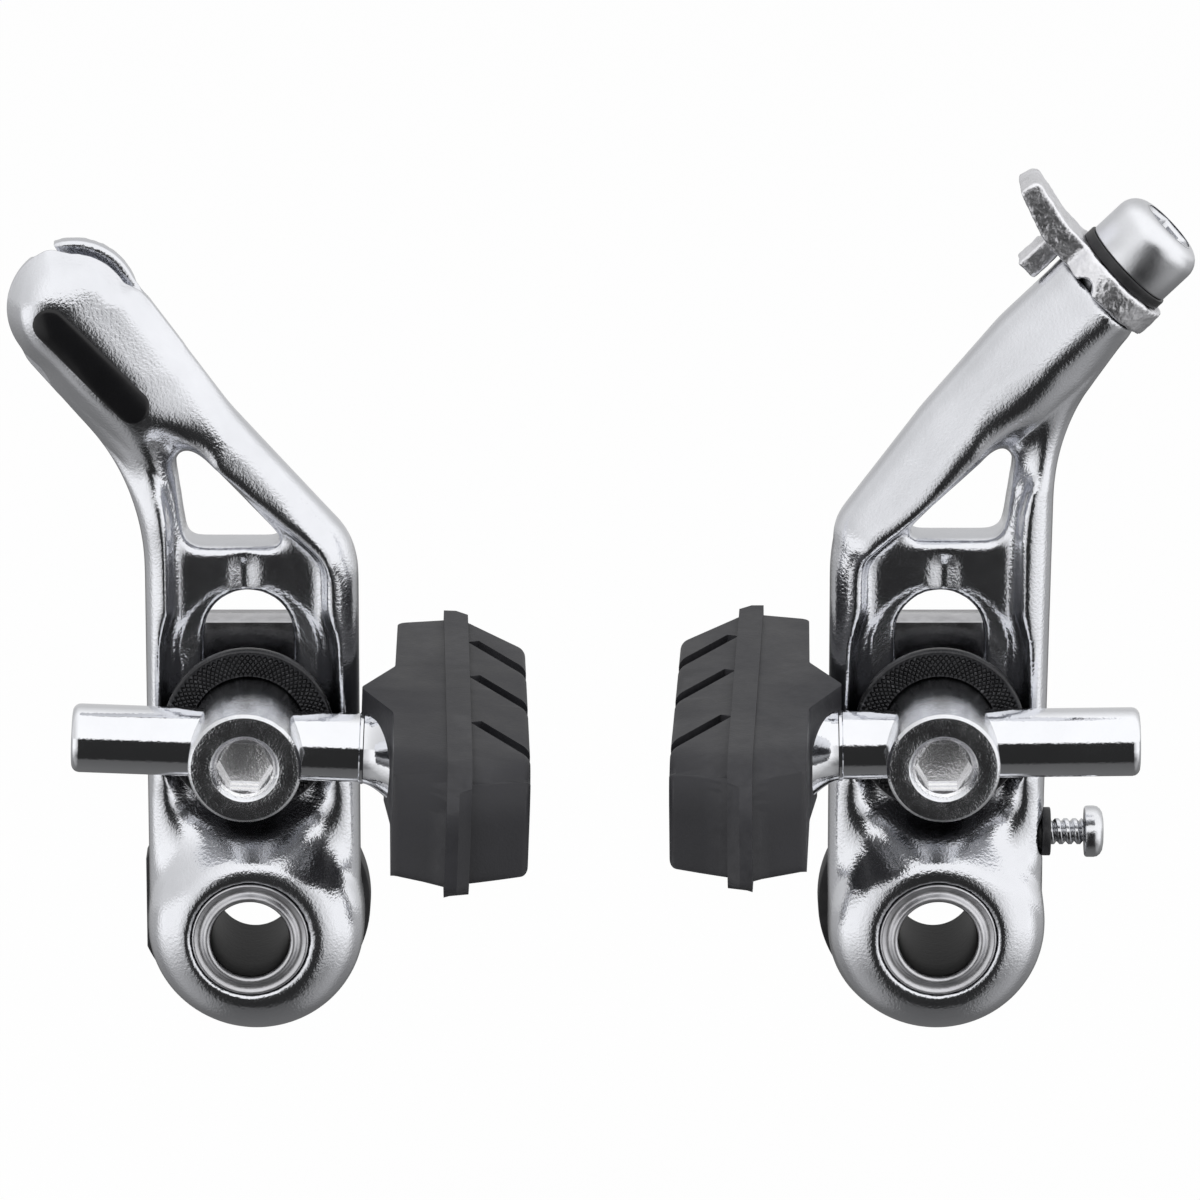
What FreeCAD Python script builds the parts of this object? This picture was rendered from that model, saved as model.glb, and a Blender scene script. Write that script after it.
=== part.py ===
import FreeCAD, Part
import math
import os

# Cantilever rim brake: the left and the right arm of one brake.
# Millimetres. X runs to the right, Y into the picture, Z up.
# The origin is on the left pivot axis at the rear seat of its sleeve; the brake's front is at -Y.
# Each arm is drawn for the right side, with +X outboard of its own pivot, and then set in place.
# Depths are counted from the rear seat towards the front, so a depth d lies at y = -d.

# Whole brake and its clearances
pivot_spacing = 70.6
running_clearance = 0.05
seat_clearance = 0.02
face_gap = 0.1
slip_gap = 0.3

# Pivot sleeve on the frame's boss
boss_bore_radius = 4.03
sleeve_radius = 5.0
sleeve_length = 16.0
sleeve_flange_radius = 6.0
sleeve_flange_thickness = 1.4
sleeve_clearance_step = 0.2
sleeve_chamfer = 0.4

# Hub and flat body of an arm; the left hub's round outline lies a little inboard of its bore
hub_radius = 11.2
hub_offsets = {"left": 0.45, "right": 0.0}
hub_dome_drop = 5.0
hub_dome_round = 1.5
hub_lip = 0.4
arm_back = 4.5
arm_thickness = 7.6
web_recess = 2.2
outboard_side = 10.6
inboard_side = 11.2
front_round = 3.1
back_round = 0.7
rail_width_outboard = 2.6
rail_width_inboard = 3.3
web_round = 0.9
recess_foot = 11.6
recess_foot_round = 2.0
recess_bend = 44.0
recess_bend_round = 14.0
recess_tips = {"left": 56.8, "right": 57.6}
recess_tips_beyond = {"left": 1.0, "right": 1.8}
recess_tip_round = 1.4
recess_top = 39.3
recess_top_round = 3.0

# Window above the slot
window_sills = {"left": 40.3, "right": 41.1}
window_peak = 54.0
window_outboard = 6.2
window_inboard = 4.2

# Spring room behind the hub, and the torsion spring in it
spring_room_radius = 8.6
spring_room_depth = 5.6
spring_radius = 6.9
spring_wire_radius = 0.7
spring_turns = 2.25
spring_pitch = 1.45
spring_pin_reach = 3.0
spring_leg_height = 10.3
spring_leg_swing = 1.5

# Black cover behind the hub
cover_radius = 12.1
cover_thickness = 4.0
cover_top = 10.0
cover_outboard = 11.1

# Pad clamp: slot, knurled washer, eye bolt, plate and nut
clamp_height = 21.8
clamp_travel_up = 7.5
clamp_travel_down = 0.8
clamp_stop_gap = 1.4
slot_half_width = 4.55
slot_top = 35.7
slot_bottom = 13.0
seat_edge_round = 1.6
washer_radius = 8.7
washer_back_radius = 7.2
washer_bevel = 2.2
washer_rim = 0.2
washer_thickness = 3.55
washer_counterbore_depth = 2.2
eye_radius = 5.75
eye_front_length = 8.0
eye_back_length = 4.8
eye_countersink_radius = 3.5
eye_countersink_depth = 0.7
edge_chamfer = 0.3
hex_width = 5.0
hex_depth = 3.6
bolt_radius = 2.95
plate_width = 13.6
plate_height = 17.6
plate_thickness = 4.3
plate_corner = 1.5
key_depth = 1.8
key_height = 5.0
nut_width = 10.0
nut_thickness = 4.6
nut_chamfer = 0.6
bolt_tail = 1.2

# Pad post, with the collar that carries the pad
post_radius = 3.5
post_end_round = 0.8
post_slopes = {"left": 2.2, "right": 0.7}
post_outer_ends = {"left": 17.8, "right": 20.2}
post_shifts = {"left": 0.0, "right": 1.4}
collar_start = 11.9
collar_end = 14.6
collar_radius = 5.3
collar_root = 2.0

# Brake pad, with its length along Y; the toe angle brings its front end nearer to the rim
pad_toes = {"left": 1.3, "right": 2.2}
pad_back = 14.7
pad_hump = 11.4
pad_flange = 20.0
pad_lip = 2.5
pad_face = 28.4
pad_front = 27.3
pad_rear = 26.2
pad_half_height = 6.0
pad_lip_height = 0.45
pad_face_half_height = 5.3
pad_corner = 1.2
groove_width = 1.4
groove_places = [18.3, 7.1, -7.5]
groove_start = 23.0
groove_slant = 8.4

# Upper end of the left arm, with the seat of the straddle cable's end
bulb_x = 17.4
bulb_z = 65.3
bulb_radius = 6.8
bar_waist_x = 5.5
bar_waist_z = 51.8
bar_waist_radius = 5.1
bar_foot_x = {"left": -5.9, "right": -6.1}
bar_foot_z = {"left": 39.3, "right": 41.3}
bar_foot_radius = 4.9
bar_face = 0.5
cable_slot_width = 2.0
cable_lip = 1.9
cable_end_radius = 3.3
cable_end_length = 5.9
cable_lip_radius = 6.55
cable_slot_angles = [62, 98, 134, 170]
cable_entry_angle = 62
badge_x = 15.5
badge_z = 60.45
badge_angle = 46.0
badge_width = 3.6
badge_length = 15.4
badge_depth = 0.3

# Upper end of the right arm, with the cable clamp
clamp_end_x = 15.8
clamp_end_z = 67.1
clamp_lean = 45.5
tube_radius = 5.15
tube_length = 9.0
tube_waist_radius = 4.6
tube_waist_inboard = 7.8
tube_waist_drop = 8.5
cable_bolt_hole_depth = 11.0
clamp_plate_thickness = 3.0
clamp_plate_radius = 6.0
clamp_hook_width = 6.4
clamp_hook_reach = 13.9
clamp_hook_rise = 2.0
clamp_hook_thickness = 2.2
clamp_hook_bend = 8.0
clamp_hook_bend_round = 8.0
clamp_hook_back_bend = 7.8
clamp_hook_back_round = 6.0
clamp_hook_tip_slant = 0.5
clamp_hook_tip_round = 0.3
clamp_hook_heel_round = 0.8
clamp_notch_place = 2.6
clamp_tab_length = 3.9
clamp_tab_width = 3.5
clamp_tab_thickness = 2.3
cable_groove_radius = 0.9
clamp_washer_radius = 5.2
clamp_washer_thickness = 1.1
cable_bolt_head_radius = 5.0
cable_bolt_head_height = 5.7
cable_bolt_head_round = 1.6

# Spring tension screw and its bush in the right arm
screw_height = 9.3
screw_travel_in = 1.5
screw_shank_radius = 1.35
screw_shank_end = 15.2
screw_head_radius = 2.65
screw_head_thickness = 1.9
screw_slot_width = 0.7
screw_slot_depth = 1.1
bush_radius = 1.95
bush_seat = 10.75
bush_flange_radius = 2.5
bush_flange_thickness = 0.9

# Places worked out from the sizes above
arm_front = arm_back + arm_thickness
arm_middle = arm_back + arm_thickness / 2
web_front = arm_front - web_recess
rail_inner_outboard = outboard_side - rail_width_outboard
rail_inner_inboard = inboard_side - rail_width_inboard
seat_radius = washer_radius + slip_gap
seat_low = clamp_height - clamp_travel_down - clamp_stop_gap
shank_hole_radius = bolt_radius + running_clearance
washer_back = web_front + seat_clearance
washer_front = washer_back + washer_thickness
post_depth = washer_front + post_radius + slip_gap
eye_front = post_depth + eye_front_length
eye_back = post_depth - eye_back_length
plate_front = arm_back - seat_clearance
nut_back = plate_front - plate_thickness - nut_thickness
screw_depth = arm_back + 4.0
bar_front = arm_front + bar_face
far = 60.0


def corner_path(points):
    """Closed wire in the XZ plane through corners given as (x, z, corner radius)."""
    count = len(points)
    turns = []
    for i in range(count):
        here = FreeCAD.Vector(points[i][0], 0, points[i][1])
        before = FreeCAD.Vector(points[i - 1][0], 0, points[i - 1][1])
        after = FreeCAD.Vector(points[(i + 1) % count][0], 0, points[(i + 1) % count][1])
        radius = points[i][2]
        if radius <= 0:
            turns.append((here, None, here))
            continue
        to_before = (before - here).normalize()
        to_after = (after - here).normalize()
        half = to_before.getAngle(to_after) / 2
        cut = radius / math.tan(half)
        reach = radius / math.sin(half) - radius
        middle = (to_before + to_after).normalize()
        turns.append((here + to_before * cut, here + middle * reach, here + to_after * cut))
    edges = []
    for i in range(count):
        start, mid, end = turns[i]
        if mid is not None:
            edges.append(Part.Arc(start, mid, end).toShape())
        following = turns[(i + 1) % count][0]
        if end.distanceToPoint(following) > 1e-6:
            edges.append(Part.LineSegment(end, following).toShape())
    return Part.Wire(edges)


def prism(points, front, back):
    """Solid with an XZ outline, between two depths."""
    solid = Part.Face(corner_path(points)).extrude(FreeCAD.Vector(0, front - back, 0))
    solid.translate(FreeCAD.Vector(0, -front, 0))
    return solid


def upright(points, half_height):
    """Solid with an XY outline given as (x, y, corner radius), centred on z = 0."""
    solid = Part.Face(corner_path(points)).extrude(FreeCAD.Vector(0, 2 * half_height, 0))
    solid.rotate(FreeCAD.Vector(0, 0, 0), FreeCAD.Vector(1, 0, 0), -90)
    solid.translate(FreeCAD.Vector(0, 0, half_height))
    return solid


def rod_y(radius, front, back, x=0.0, z=0.0):
    """Cylinder along Y, between two depths."""
    return Part.makeCylinder(radius, front - back, FreeCAD.Vector(x, -front, z), FreeCAD.Vector(0, 1, 0))


def rod_x(radius, start, end, depth=0.0, z=0.0):
    """Cylinder along X, from x = start to x = end."""
    return Part.makeCylinder(radius, end - start, FreeCAD.Vector(start, -depth, z), FreeCAD.Vector(1, 0, 0))


def turned(points, base, direction):
    """Solid of revolution: points are (radius, distance along the axis from the base)."""
    corners = [FreeCAD.Vector(radius, 0, along) for radius, along in points]
    face = Part.Face(Part.makePolygon(corners + corners[:1]))
    solid = face.revolve(FreeCAD.Vector(0, 0, 0), FreeCAD.Vector(0, 0, 1), 360)
    turn = FreeCAD.Rotation(FreeCAD.Vector(0, 0, 1), direction)
    solid.Placement = FreeCAD.Placement(base, turn)
    return solid


def stadium(radius, low, high, front, back):
    """Upright slot with round ends, whose end centres are at z = low and z = high."""
    block = Part.makeBox(2 * radius, front - back, high - low, FreeCAD.Vector(-radius, -front, low))
    ends = [rod_y(radius, front, back, 0, z) for z in (low, high)]
    return block.fuse(ends).removeSplitter()


def hexagon(width, front, back, z=0.0):
    """Hexagonal prism along Y, with corners at its left and right."""
    reach = width / math.sqrt(3)
    angles = [math.radians(60 * i) for i in range(6)]
    return prism([(reach * math.cos(a), z + reach * math.sin(a), 0) for a in angles], front, back)


def capsule(x1, z1, radius1, x2, z2, radius2):
    """Tapered round bar with ball ends, in the arm's middle plane."""
    start = FreeCAD.Vector(x1, -arm_middle, z1)
    end = FreeCAD.Vector(x2, -arm_middle, z2)
    axis = end - start
    lean = (radius1 - radius2) / axis.Length
    squeeze = math.sqrt(1 - lean * lean)
    length = axis.Length - (radius1 - radius2) * lean
    axis.normalize()
    cone_start = start + axis * (radius1 * lean)
    if abs(lean) < 1e-6:
        cone = Part.makeCylinder(radius1, length, start, axis)
    else:
        cone = Part.makeCone(radius1 * squeeze, radius2 * squeeze, length, cone_start, axis)
    return cone.fuse([Part.makeSphere(radius1, start), Part.makeSphere(radius2, end)])


def edges_at_depth(solid, depth):
    """Edges that lie in the plane of one depth."""
    return [e for e in solid.Edges
            if abs(e.BoundBox.YMin + depth) < 1e-4 and abs(e.BoundBox.YMax + depth) < 1e-4]


def arm_outline(side):
    """Outline of an arm's flat body, anticlockwise from the hub's outboard side."""
    if side == "left":
        upper = [
            (outboard_side, 46.4, 23.0),
            (bulb_x + 5.7, bulb_z - 4.3, 3.5),
            (bulb_x + 3.6, bulb_z + 3.3, 3.5),
            (bulb_x - 3.4, bulb_z + 3.3, 3.5),
            (bar_waist_x - 3.1, bar_waist_z + 2.0, 40.0),
            (-inboard_side, 40.2, 8.0),
        ]
    else:
        upper = [
            (outboard_side + 1.0, 52.2, 22.0),
            (clamp_end_x + 3.4, clamp_end_z - 3.9, 0),
            (clamp_end_x - 3.5, clamp_end_z + 2.2, 0),
            (-inboard_side, 42.0, 12.0),
        ]
    hub_corner = hub_radius - 1.3
    return [(outboard_side, -hub_radius, hub_corner)] + upper + [(-inboard_side, -hub_radius, hub_corner)]


def make_upper_bar(side):
    """Round bar of an arm's upper end, which runs on into the inboard rail."""
    if side == "left":
        upper = capsule(bulb_x, bulb_z, bulb_radius, bar_waist_x, bar_waist_z, bar_waist_radius)
        lower = capsule(bar_waist_x, bar_waist_z, bar_waist_radius, bar_foot_x[side], bar_foot_z[side], bar_foot_radius)
        slab = Part.makeBox(far, bar_front - arm_back, 2 * far, FreeCAD.Vector(-far / 2, -bar_front, 0))
        lip = rod_y(cable_lip_radius, arm_back + cable_lip, arm_back, bulb_x, bulb_z)
        return upper.fuse(lower).common(slab).fuse(lip)
    lean = math.radians(clamp_lean)
    end = FreeCAD.Vector(clamp_end_x, -arm_middle, clamp_end_z)
    neck = end - FreeCAD.Vector(math.sin(lean), 0, math.cos(lean)) * tube_length
    tube = Part.makeCylinder(tube_radius, tube_length, neck, end - neck)
    waist_x = neck.x - tube_waist_inboard
    waist_z = neck.z - tube_waist_drop
    upper = capsule(neck.x, neck.z, tube_radius, waist_x, waist_z, tube_waist_radius)
    lower = capsule(waist_x, waist_z, tube_waist_radius, bar_foot_x[side], bar_foot_z[side], bar_foot_radius)
    return tube.fuse([upper, lower])


def make_hub(side):
    """Domed round hub."""
    rim = sleeve_flange_radius + running_clearance + hub_lip + hub_offsets[side]
    front = sleeve_length - sleeve_clearance_step
    rear_edge = FreeCAD.Vector(hub_radius, -arm_back, 0)
    wide_edge = FreeCAD.Vector(hub_radius, -(front - hub_dome_drop), 0)
    bulge = FreeCAD.Vector(hub_radius - hub_dome_round, -(front - hub_dome_round), 0)
    rim_edge = FreeCAD.Vector(rim, -front, 0)
    front_middle = FreeCAD.Vector(0, -front, 0)
    rear_middle = FreeCAD.Vector(0, -arm_back, 0)
    outline = Part.Wire([
        Part.LineSegment(rear_middle, rear_edge).toShape(),
        Part.LineSegment(rear_edge, wide_edge).toShape(),
        Part.Arc(wide_edge, bulge, rim_edge).toShape(),
        Part.LineSegment(rim_edge, front_middle).toShape(),
        Part.LineSegment(front_middle, rear_middle).toShape(),
    ])
    hub = Part.Face(outline).revolve(FreeCAD.Vector(0, 0, 0), FreeCAD.Vector(0, 1, 0), 360)
    hub.translate(FreeCAD.Vector(-hub_offsets[side], 0, 0))
    return hub


def recess_outline(side):
    """Outline of the hollow between the rails, in front of the web."""
    return [
        (rail_inner_outboard, recess_foot, recess_foot_round),
        (rail_inner_outboard, recess_bend, recess_bend_round),
        (outboard_side + recess_tips_beyond[side], recess_tips[side], recess_tip_round),
        (-rail_inner_inboard, recess_top, recess_top_round),
        (-rail_inner_inboard, recess_foot, recess_foot_round),
    ]


def cable_seat_cuts():
    """Pocket for the cable's end, open at the back, and the slot that the cable leaves by."""
    slot_front = arm_back + cable_lip + cable_slot_width
    pocket = rod_y(cable_end_radius, arm_back + cable_end_length, 0, bulb_x, bulb_z)
    angles = [math.radians(angle) for angle in cable_slot_angles]
    rays = [(bulb_x + far * math.cos(a), bulb_z + far * math.sin(a), 0) for a in angles]
    fan = prism([(bulb_x, bulb_z, 0)] + rays, slot_front, arm_back + cable_lip)
    entry = Part.makeBox(
        far, slot_front, cable_slot_width,
        FreeCAD.Vector(bulb_x, -slot_front, bulb_z - cable_slot_width / 2))
    entry.rotate(
        FreeCAD.Vector(bulb_x, 0, bulb_z), FreeCAD.Vector(0, 1, 0), -cable_entry_angle)
    return [pocket, fan, entry]


def badge_bar(radius, front, back):
    """Bar with round ends, for the badge and for its recess."""
    half = (badge_length - badge_width) / 2
    bar = stadium(radius, badge_z - half, badge_z + half, front, back)
    bar.translate(FreeCAD.Vector(badge_x, 0, 0))
    bar.rotate(FreeCAD.Vector(badge_x, 0, badge_z), FreeCAD.Vector(0, 1, 0), 90 - badge_angle)
    return bar


def on_clamp_end(shape):
    """Set a shape drawn along the Z axis onto the upper end of the right arm."""
    shape.rotate(FreeCAD.Vector(0, 0, 0), FreeCAD.Vector(0, 1, 0), clamp_lean)
    shape.translate(FreeCAD.Vector(clamp_end_x, -arm_middle, clamp_end_z))
    return shape


def make_arm(side):
    """Forged arm: hub, two rails with a recessed web, window, slot and upper end."""
    body = prism(arm_outline(side), arm_front, arm_back)
    body = body.makeFillet(front_round, edges_at_depth(body, arm_front))
    body = body.makeFillet(back_round, edges_at_depth(body, arm_back))
    body = body.fuse(make_hub(side)).fuse(make_upper_bar(side)).removeSplitter()
    recess = prism(recess_outline(side), far, web_front)
    recess = recess.makeFillet(web_round, edges_at_depth(recess, web_front))
    seat = stadium(seat_radius, seat_low, clamp_height + clamp_travel_up, far, web_front)
    seat = seat.makeFillet(seat_edge_round, edges_at_depth(seat, web_front))
    slot = stadium(slot_half_width, slot_bottom + slot_half_width, slot_top - slot_half_width, far, 0)
    window = prism([
        (window_outboard, window_sills[side], 1.3),
        (window_outboard + 1.9, window_peak, 1.6),
        (-window_inboard, window_sills[side], 0.7),
    ], far, 0)
    flange_room = rod_y(
        sleeve_flange_radius + running_clearance, far, sleeve_length - sleeve_flange_thickness - face_gap)
    bore = rod_y(sleeve_radius + running_clearance, far, 0)
    spring_room = rod_y(spring_room_radius, arm_back + spring_room_depth, 0)
    leg_room_width = spring_leg_swing + 2 * spring_wire_radius + 2 * slip_gap
    leg_room = Part.makeBox(
        leg_room_width, arm_back + spring_room_depth, spring_leg_height + slip_gap,
        FreeCAD.Vector(
            spring_radius + spring_wire_radius + slip_gap - leg_room_width,
            -arm_back - spring_room_depth, 0))
    for cutter in [recess, seat, slot, window, flange_room, bore, spring_room, leg_room]:
        body = body.cut(cutter)
    if side == "left":
        for cutter in cable_seat_cuts():
            body = body.cut(cutter)
        return body.cut(badge_bar(badge_width / 2, far, bar_front - badge_depth))
    bolt_hole = on_clamp_end(Part.makeCylinder(
        bolt_radius + seat_clearance, cable_bolt_hole_depth, FreeCAD.Vector(0, 0, -cable_bolt_hole_depth)))
    spot_face = rod_x(bush_flange_radius + slip_gap, bush_seat, far, screw_depth, screw_height)
    hole_end = spring_radius + spring_wire_radius - screw_travel_in - slip_gap
    bush_hole = rod_x(bush_radius + seat_clearance, hole_end, far, screw_depth, screw_height)
    for cutter in [bolt_hole, spot_face, bush_hole]:
        body = body.cut(cutter)
    return body


def make_sleeve():
    """Steel pivot sleeve, with a flange at its front end."""
    neck = sleeve_length - sleeve_flange_thickness
    mouth = boss_bore_radius + sleeve_chamfer
    outline = [
        (boss_bore_radius, 0),
        (sleeve_radius, 0),
        (sleeve_radius, neck),
        (sleeve_flange_radius, neck),
        (sleeve_flange_radius, sleeve_length - edge_chamfer),
        (sleeve_flange_radius - edge_chamfer, sleeve_length),
        (mouth, sleeve_length),
        (boss_bore_radius, sleeve_length - sleeve_chamfer),
    ]
    return turned(outline, FreeCAD.Vector(0, 0, 0), FreeCAD.Vector(0, -1, 0))


def make_return_spring():
    """Torsion spring round the sleeve, with a pin for the frame and a leg for the arm."""
    rise = spring_turns * spring_pitch
    helix = Part.makeHelix(spring_pitch, rise, spring_radius)
    section = Part.Wire(Part.makeCircle(
        spring_wire_radius, FreeCAD.Vector(spring_radius, 0, 0), FreeCAD.Vector(0, 1, 0)))
    coil = Part.Wire(helix).makePipeShell([section], True, True)
    coil.rotate(FreeCAD.Vector(0, 0, 0), FreeCAD.Vector(1, 0, 0), -90)
    coil.translate(FreeCAD.Vector(0, -screw_depth, 0))
    leg = Part.makeCylinder(
        spring_wire_radius, spring_leg_height, FreeCAD.Vector(spring_radius, -screw_depth, 0))
    end_angle = math.radians(360 * spring_turns)
    end = FreeCAD.Vector(
        spring_radius * math.cos(end_angle), rise - screw_depth, -spring_radius * math.sin(end_angle))
    pin = Part.makeCylinder(spring_wire_radius, spring_pin_reach - end.y, end, FreeCAD.Vector(0, 1, 0))
    return coil.fuse(leg).fuse(pin.fuse(Part.makeSphere(spring_wire_radius, end)))


def make_spring_cover():
    """Black cover behind the hub, flat at its top to clear the clamp plate."""
    front = arm_back - face_gap
    disc = rod_y(cover_radius, front, front - cover_thickness)
    limits = Part.makeBox(
        cover_radius + cover_outboard, front, cover_radius + cover_top,
        FreeCAD.Vector(-cover_radius, -front, -cover_radius))
    cover = disc.common(limits)
    cover = cover.makeFillet(back_round, edges_at_depth(cover, front - cover_thickness))
    sleeve_hole = rod_y(sleeve_radius, far, 0)
    end_angle = math.radians(360 * spring_turns)
    pin_hole = rod_y(
        spring_wire_radius, far, 0, spring_radius * math.cos(end_angle), -spring_radius * math.sin(end_angle))
    return cover.cut(sleeve_hole).cut(pin_hole)


def make_knurled_washer():
    """Bevelled washer that the post presses into the arm's seat."""
    floor = washer_front - washer_counterbore_depth
    mouth = eye_radius + 2 * running_clearance
    outline = [
        (shank_hole_radius, washer_back),
        (washer_back_radius, washer_back),
        (washer_radius, washer_back + washer_bevel),
        (washer_radius, washer_front - washer_rim),
        (washer_radius - washer_rim, washer_front),
        (mouth, washer_front),
        (mouth, floor),
        (shank_hole_radius, floor),
    ]
    return turned(outline, FreeCAD.Vector(0, 0, clamp_height), FreeCAD.Vector(0, -1, 0))


def make_rear_plate():
    """Plate behind the slot, with a key that slides in it and keeps it square."""
    low = clamp_height - plate_height / 2
    high = clamp_height + plate_height / 2
    half = plate_width / 2
    corners = [(-half, low), (half, low), (half, high), (-half, high)]
    plate = prism([(x, z, plate_corner) for x, z in corners], plate_front, plate_front - plate_thickness)
    key_half = slot_half_width - face_gap
    key = Part.makeBox(
        2 * key_half, key_depth + plate_thickness / 2, key_height,
        FreeCAD.Vector(-key_half, -plate_front - key_depth, clamp_height - key_height / 2))
    hole = rod_y(shank_hole_radius, far, -far, 0, clamp_height)
    return plate.fuse(key).removeSplitter().cut(hole)


def make_clamp_nut():
    """Hexagon nut behind the plate, with chamfered corners."""
    front = nut_back + nut_thickness
    corner = nut_width / math.sqrt(3)
    blank = hexagon(nut_width, front, nut_back, clamp_height)
    barrel = turned([
        (0, nut_back),
        (corner - nut_chamfer, nut_back),
        (corner, nut_back + nut_chamfer / 2),
        (corner, front - nut_chamfer / 2),
        (corner - nut_chamfer, front),
        (0, front),
    ], FreeCAD.Vector(0, 0, clamp_height), FreeCAD.Vector(0, -1, 0))
    return blank.common(barrel).cut(rod_y(shank_hole_radius, far, -far, 0, clamp_height))


def make_eye_bolt():
    """Eye bolt: round head with a cross hole for the post and a hexagon socket in its face."""
    tail = nut_back - bolt_tail
    socket = eye_front - eye_countersink_depth
    outline = [
        (0, tail),
        (bolt_radius - edge_chamfer, tail),
        (bolt_radius, tail + edge_chamfer),
        (bolt_radius, eye_back),
        (eye_radius - edge_chamfer, eye_back),
        (eye_radius, eye_back + edge_chamfer),
        (eye_radius, eye_front - edge_chamfer),
        (eye_radius - edge_chamfer, eye_front),
        (eye_countersink_radius, eye_front),
        (hex_width / math.sqrt(3), socket),
        (0, socket),
    ]
    bolt = turned(outline, FreeCAD.Vector(0, 0, clamp_height), FreeCAD.Vector(0, -1, 0))
    bolt = bolt.cut(hexagon(hex_width, far, eye_front - hex_depth, clamp_height))
    return bolt.cut(rod_x(post_radius + running_clearance, -far, far, post_depth, clamp_height))


def make_pad_post(side):
    """Smooth post with a flared collar, along X on the eye bolt's cross hole."""
    outer = post_outer_ends[side]
    flare_end = collar_end - post_shifts[side]
    outline = [
        (0, -outer),
        (post_radius - post_end_round, -outer),
        (post_radius - 0.3 * post_end_round, -outer + 0.3 * post_end_round),
        (post_radius, -outer + post_end_round),
        (post_radius, collar_start - post_shifts[side]),
        (collar_radius, flare_end),
        (collar_radius, flare_end + collar_root),
        (0, flare_end + collar_root),
    ]
    return turned(outline, FreeCAD.Vector(0, -post_depth, clamp_height), FreeCAD.Vector(-1, 0, 0))


def make_brake_pad(side):
    """Moulded pad: holder with a hump round the post, lip, and braking block with slanted grooves."""
    holder = upright([
        (-pad_flange - 0.5, pad_rear - 1.8, 0),
        (-pad_back - 0.5, pad_rear - 3.3, pad_corner),
        (-pad_back - 0.2, 8.7, 1.5),
        (-pad_hump, 1.6, 1.3),
        (-pad_back, -6.0, 3.0),
        (-pad_back, 5.0 - pad_front, pad_corner),
        (-pad_flange - 0.5, 1.8 - pad_front, 0),
    ], pad_half_height)
    lip = upright([
        (-pad_flange, -pad_front, 0),
        (-pad_flange - pad_lip / 2, -pad_front, 0),
        (-pad_flange - pad_lip, pad_lip / 2 - pad_front, 0),
        (-pad_flange - pad_lip, pad_rear - pad_lip / 2, 0),
        (-pad_flange - pad_lip / 2, pad_rear, 0),
        (-pad_flange, pad_rear, 0),
    ], pad_half_height + pad_lip_height)
    block = upright([
        (-pad_flange - pad_lip + 0.5, 2.7 - pad_front, 0),
        (-pad_face, 4.9 - pad_front, 1.0),
        (-pad_face, pad_rear - 9.0, 1.0),
        (-pad_flange - pad_lip + 0.5, pad_rear - 1.3, 0),
    ], pad_half_height)
    wedge = prism([
        (-pad_flange, -pad_half_height, 0),
        (-pad_flange, pad_half_height, 0),
        (-pad_face, pad_face_half_height, 0.8),
        (-pad_face, -pad_face_half_height, 0.8),
    ], far, -far)
    pad = holder.fuse([lip, block.common(wedge)]).removeSplitter()
    length = math.hypot(pad_face - groove_start, groove_slant) + 6.0
    angle = math.degrees(math.atan2(groove_slant, pad_face - groove_start))
    for place_y in groove_places:
        groove = Part.makeBox(
            length, groove_width, far, FreeCAD.Vector(-groove_start, place_y - groove_width / 2, -far / 2))
        groove.rotate(FreeCAD.Vector(-groove_start, place_y, 0), FreeCAD.Vector(0, 0, 1), 180 + angle)
        pad = pad.cut(groove)
    pad.rotate(FreeCAD.Vector(-pad_back, 0, 0), FreeCAD.Vector(0, 0, 1), -pad_toes[side])
    pad.translate(FreeCAD.Vector(post_shifts[side], -post_depth, clamp_height))
    return pad.cut(make_pad_post(side))


def make_badge():
    """Plain black badge in the left arm's upper end."""
    return badge_bar(badge_width / 2, bar_front - seat_clearance, bar_front - badge_depth)


def make_clamp_plate():
    """Forged plate that grips the cable on the arm's end, with a hook and a tab against turning."""
    base = Part.makeCylinder(clamp_plate_radius, clamp_plate_thickness - seat_clearance,
                             FreeCAD.Vector(0, 0, seat_clearance))
    top = clamp_plate_thickness
    hook = prism([
        (0, seat_clearance, 0),
        (-clamp_hook_bend, seat_clearance, clamp_hook_bend_round),
        (-clamp_hook_reach, clamp_hook_rise, clamp_hook_tip_round),
        (-clamp_hook_reach + clamp_hook_tip_slant, clamp_hook_rise + clamp_hook_thickness, clamp_hook_heel_round),
        (-clamp_hook_back_bend, top, clamp_hook_back_round),
        (0, top, 0),
    ], clamp_hook_width / 2, -clamp_hook_width / 2)
    tab = Part.makeBox(
        clamp_tab_thickness, clamp_tab_width, clamp_tab_length + top / 2,
        FreeCAD.Vector(-tube_radius - slip_gap - clamp_tab_thickness, slip_gap, -clamp_tab_length))
    plate = base.fuse([hook, tab]).removeSplitter()
    hole = Part.makeCylinder(bolt_radius + seat_clearance, far, FreeCAD.Vector(0, 0, -far / 2))
    groove_place = bolt_radius + cable_groove_radius
    groove = rod_x(cable_groove_radius, -far, far, -groove_place, 0)
    notch = rod_y(cable_groove_radius, far, 0, -clamp_notch_place, 0)
    return on_clamp_end(plate.cut(hole).cut(groove).cut(notch))


def make_clamp_washer():
    """Black washer under the cable bolt's head."""
    ring = Part.makeCylinder(clamp_washer_radius, clamp_washer_thickness, FreeCAD.Vector(0, 0, clamp_plate_thickness))
    return on_clamp_end(ring.cut(Part.makeCylinder(bolt_radius + seat_clearance, far)))


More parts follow.
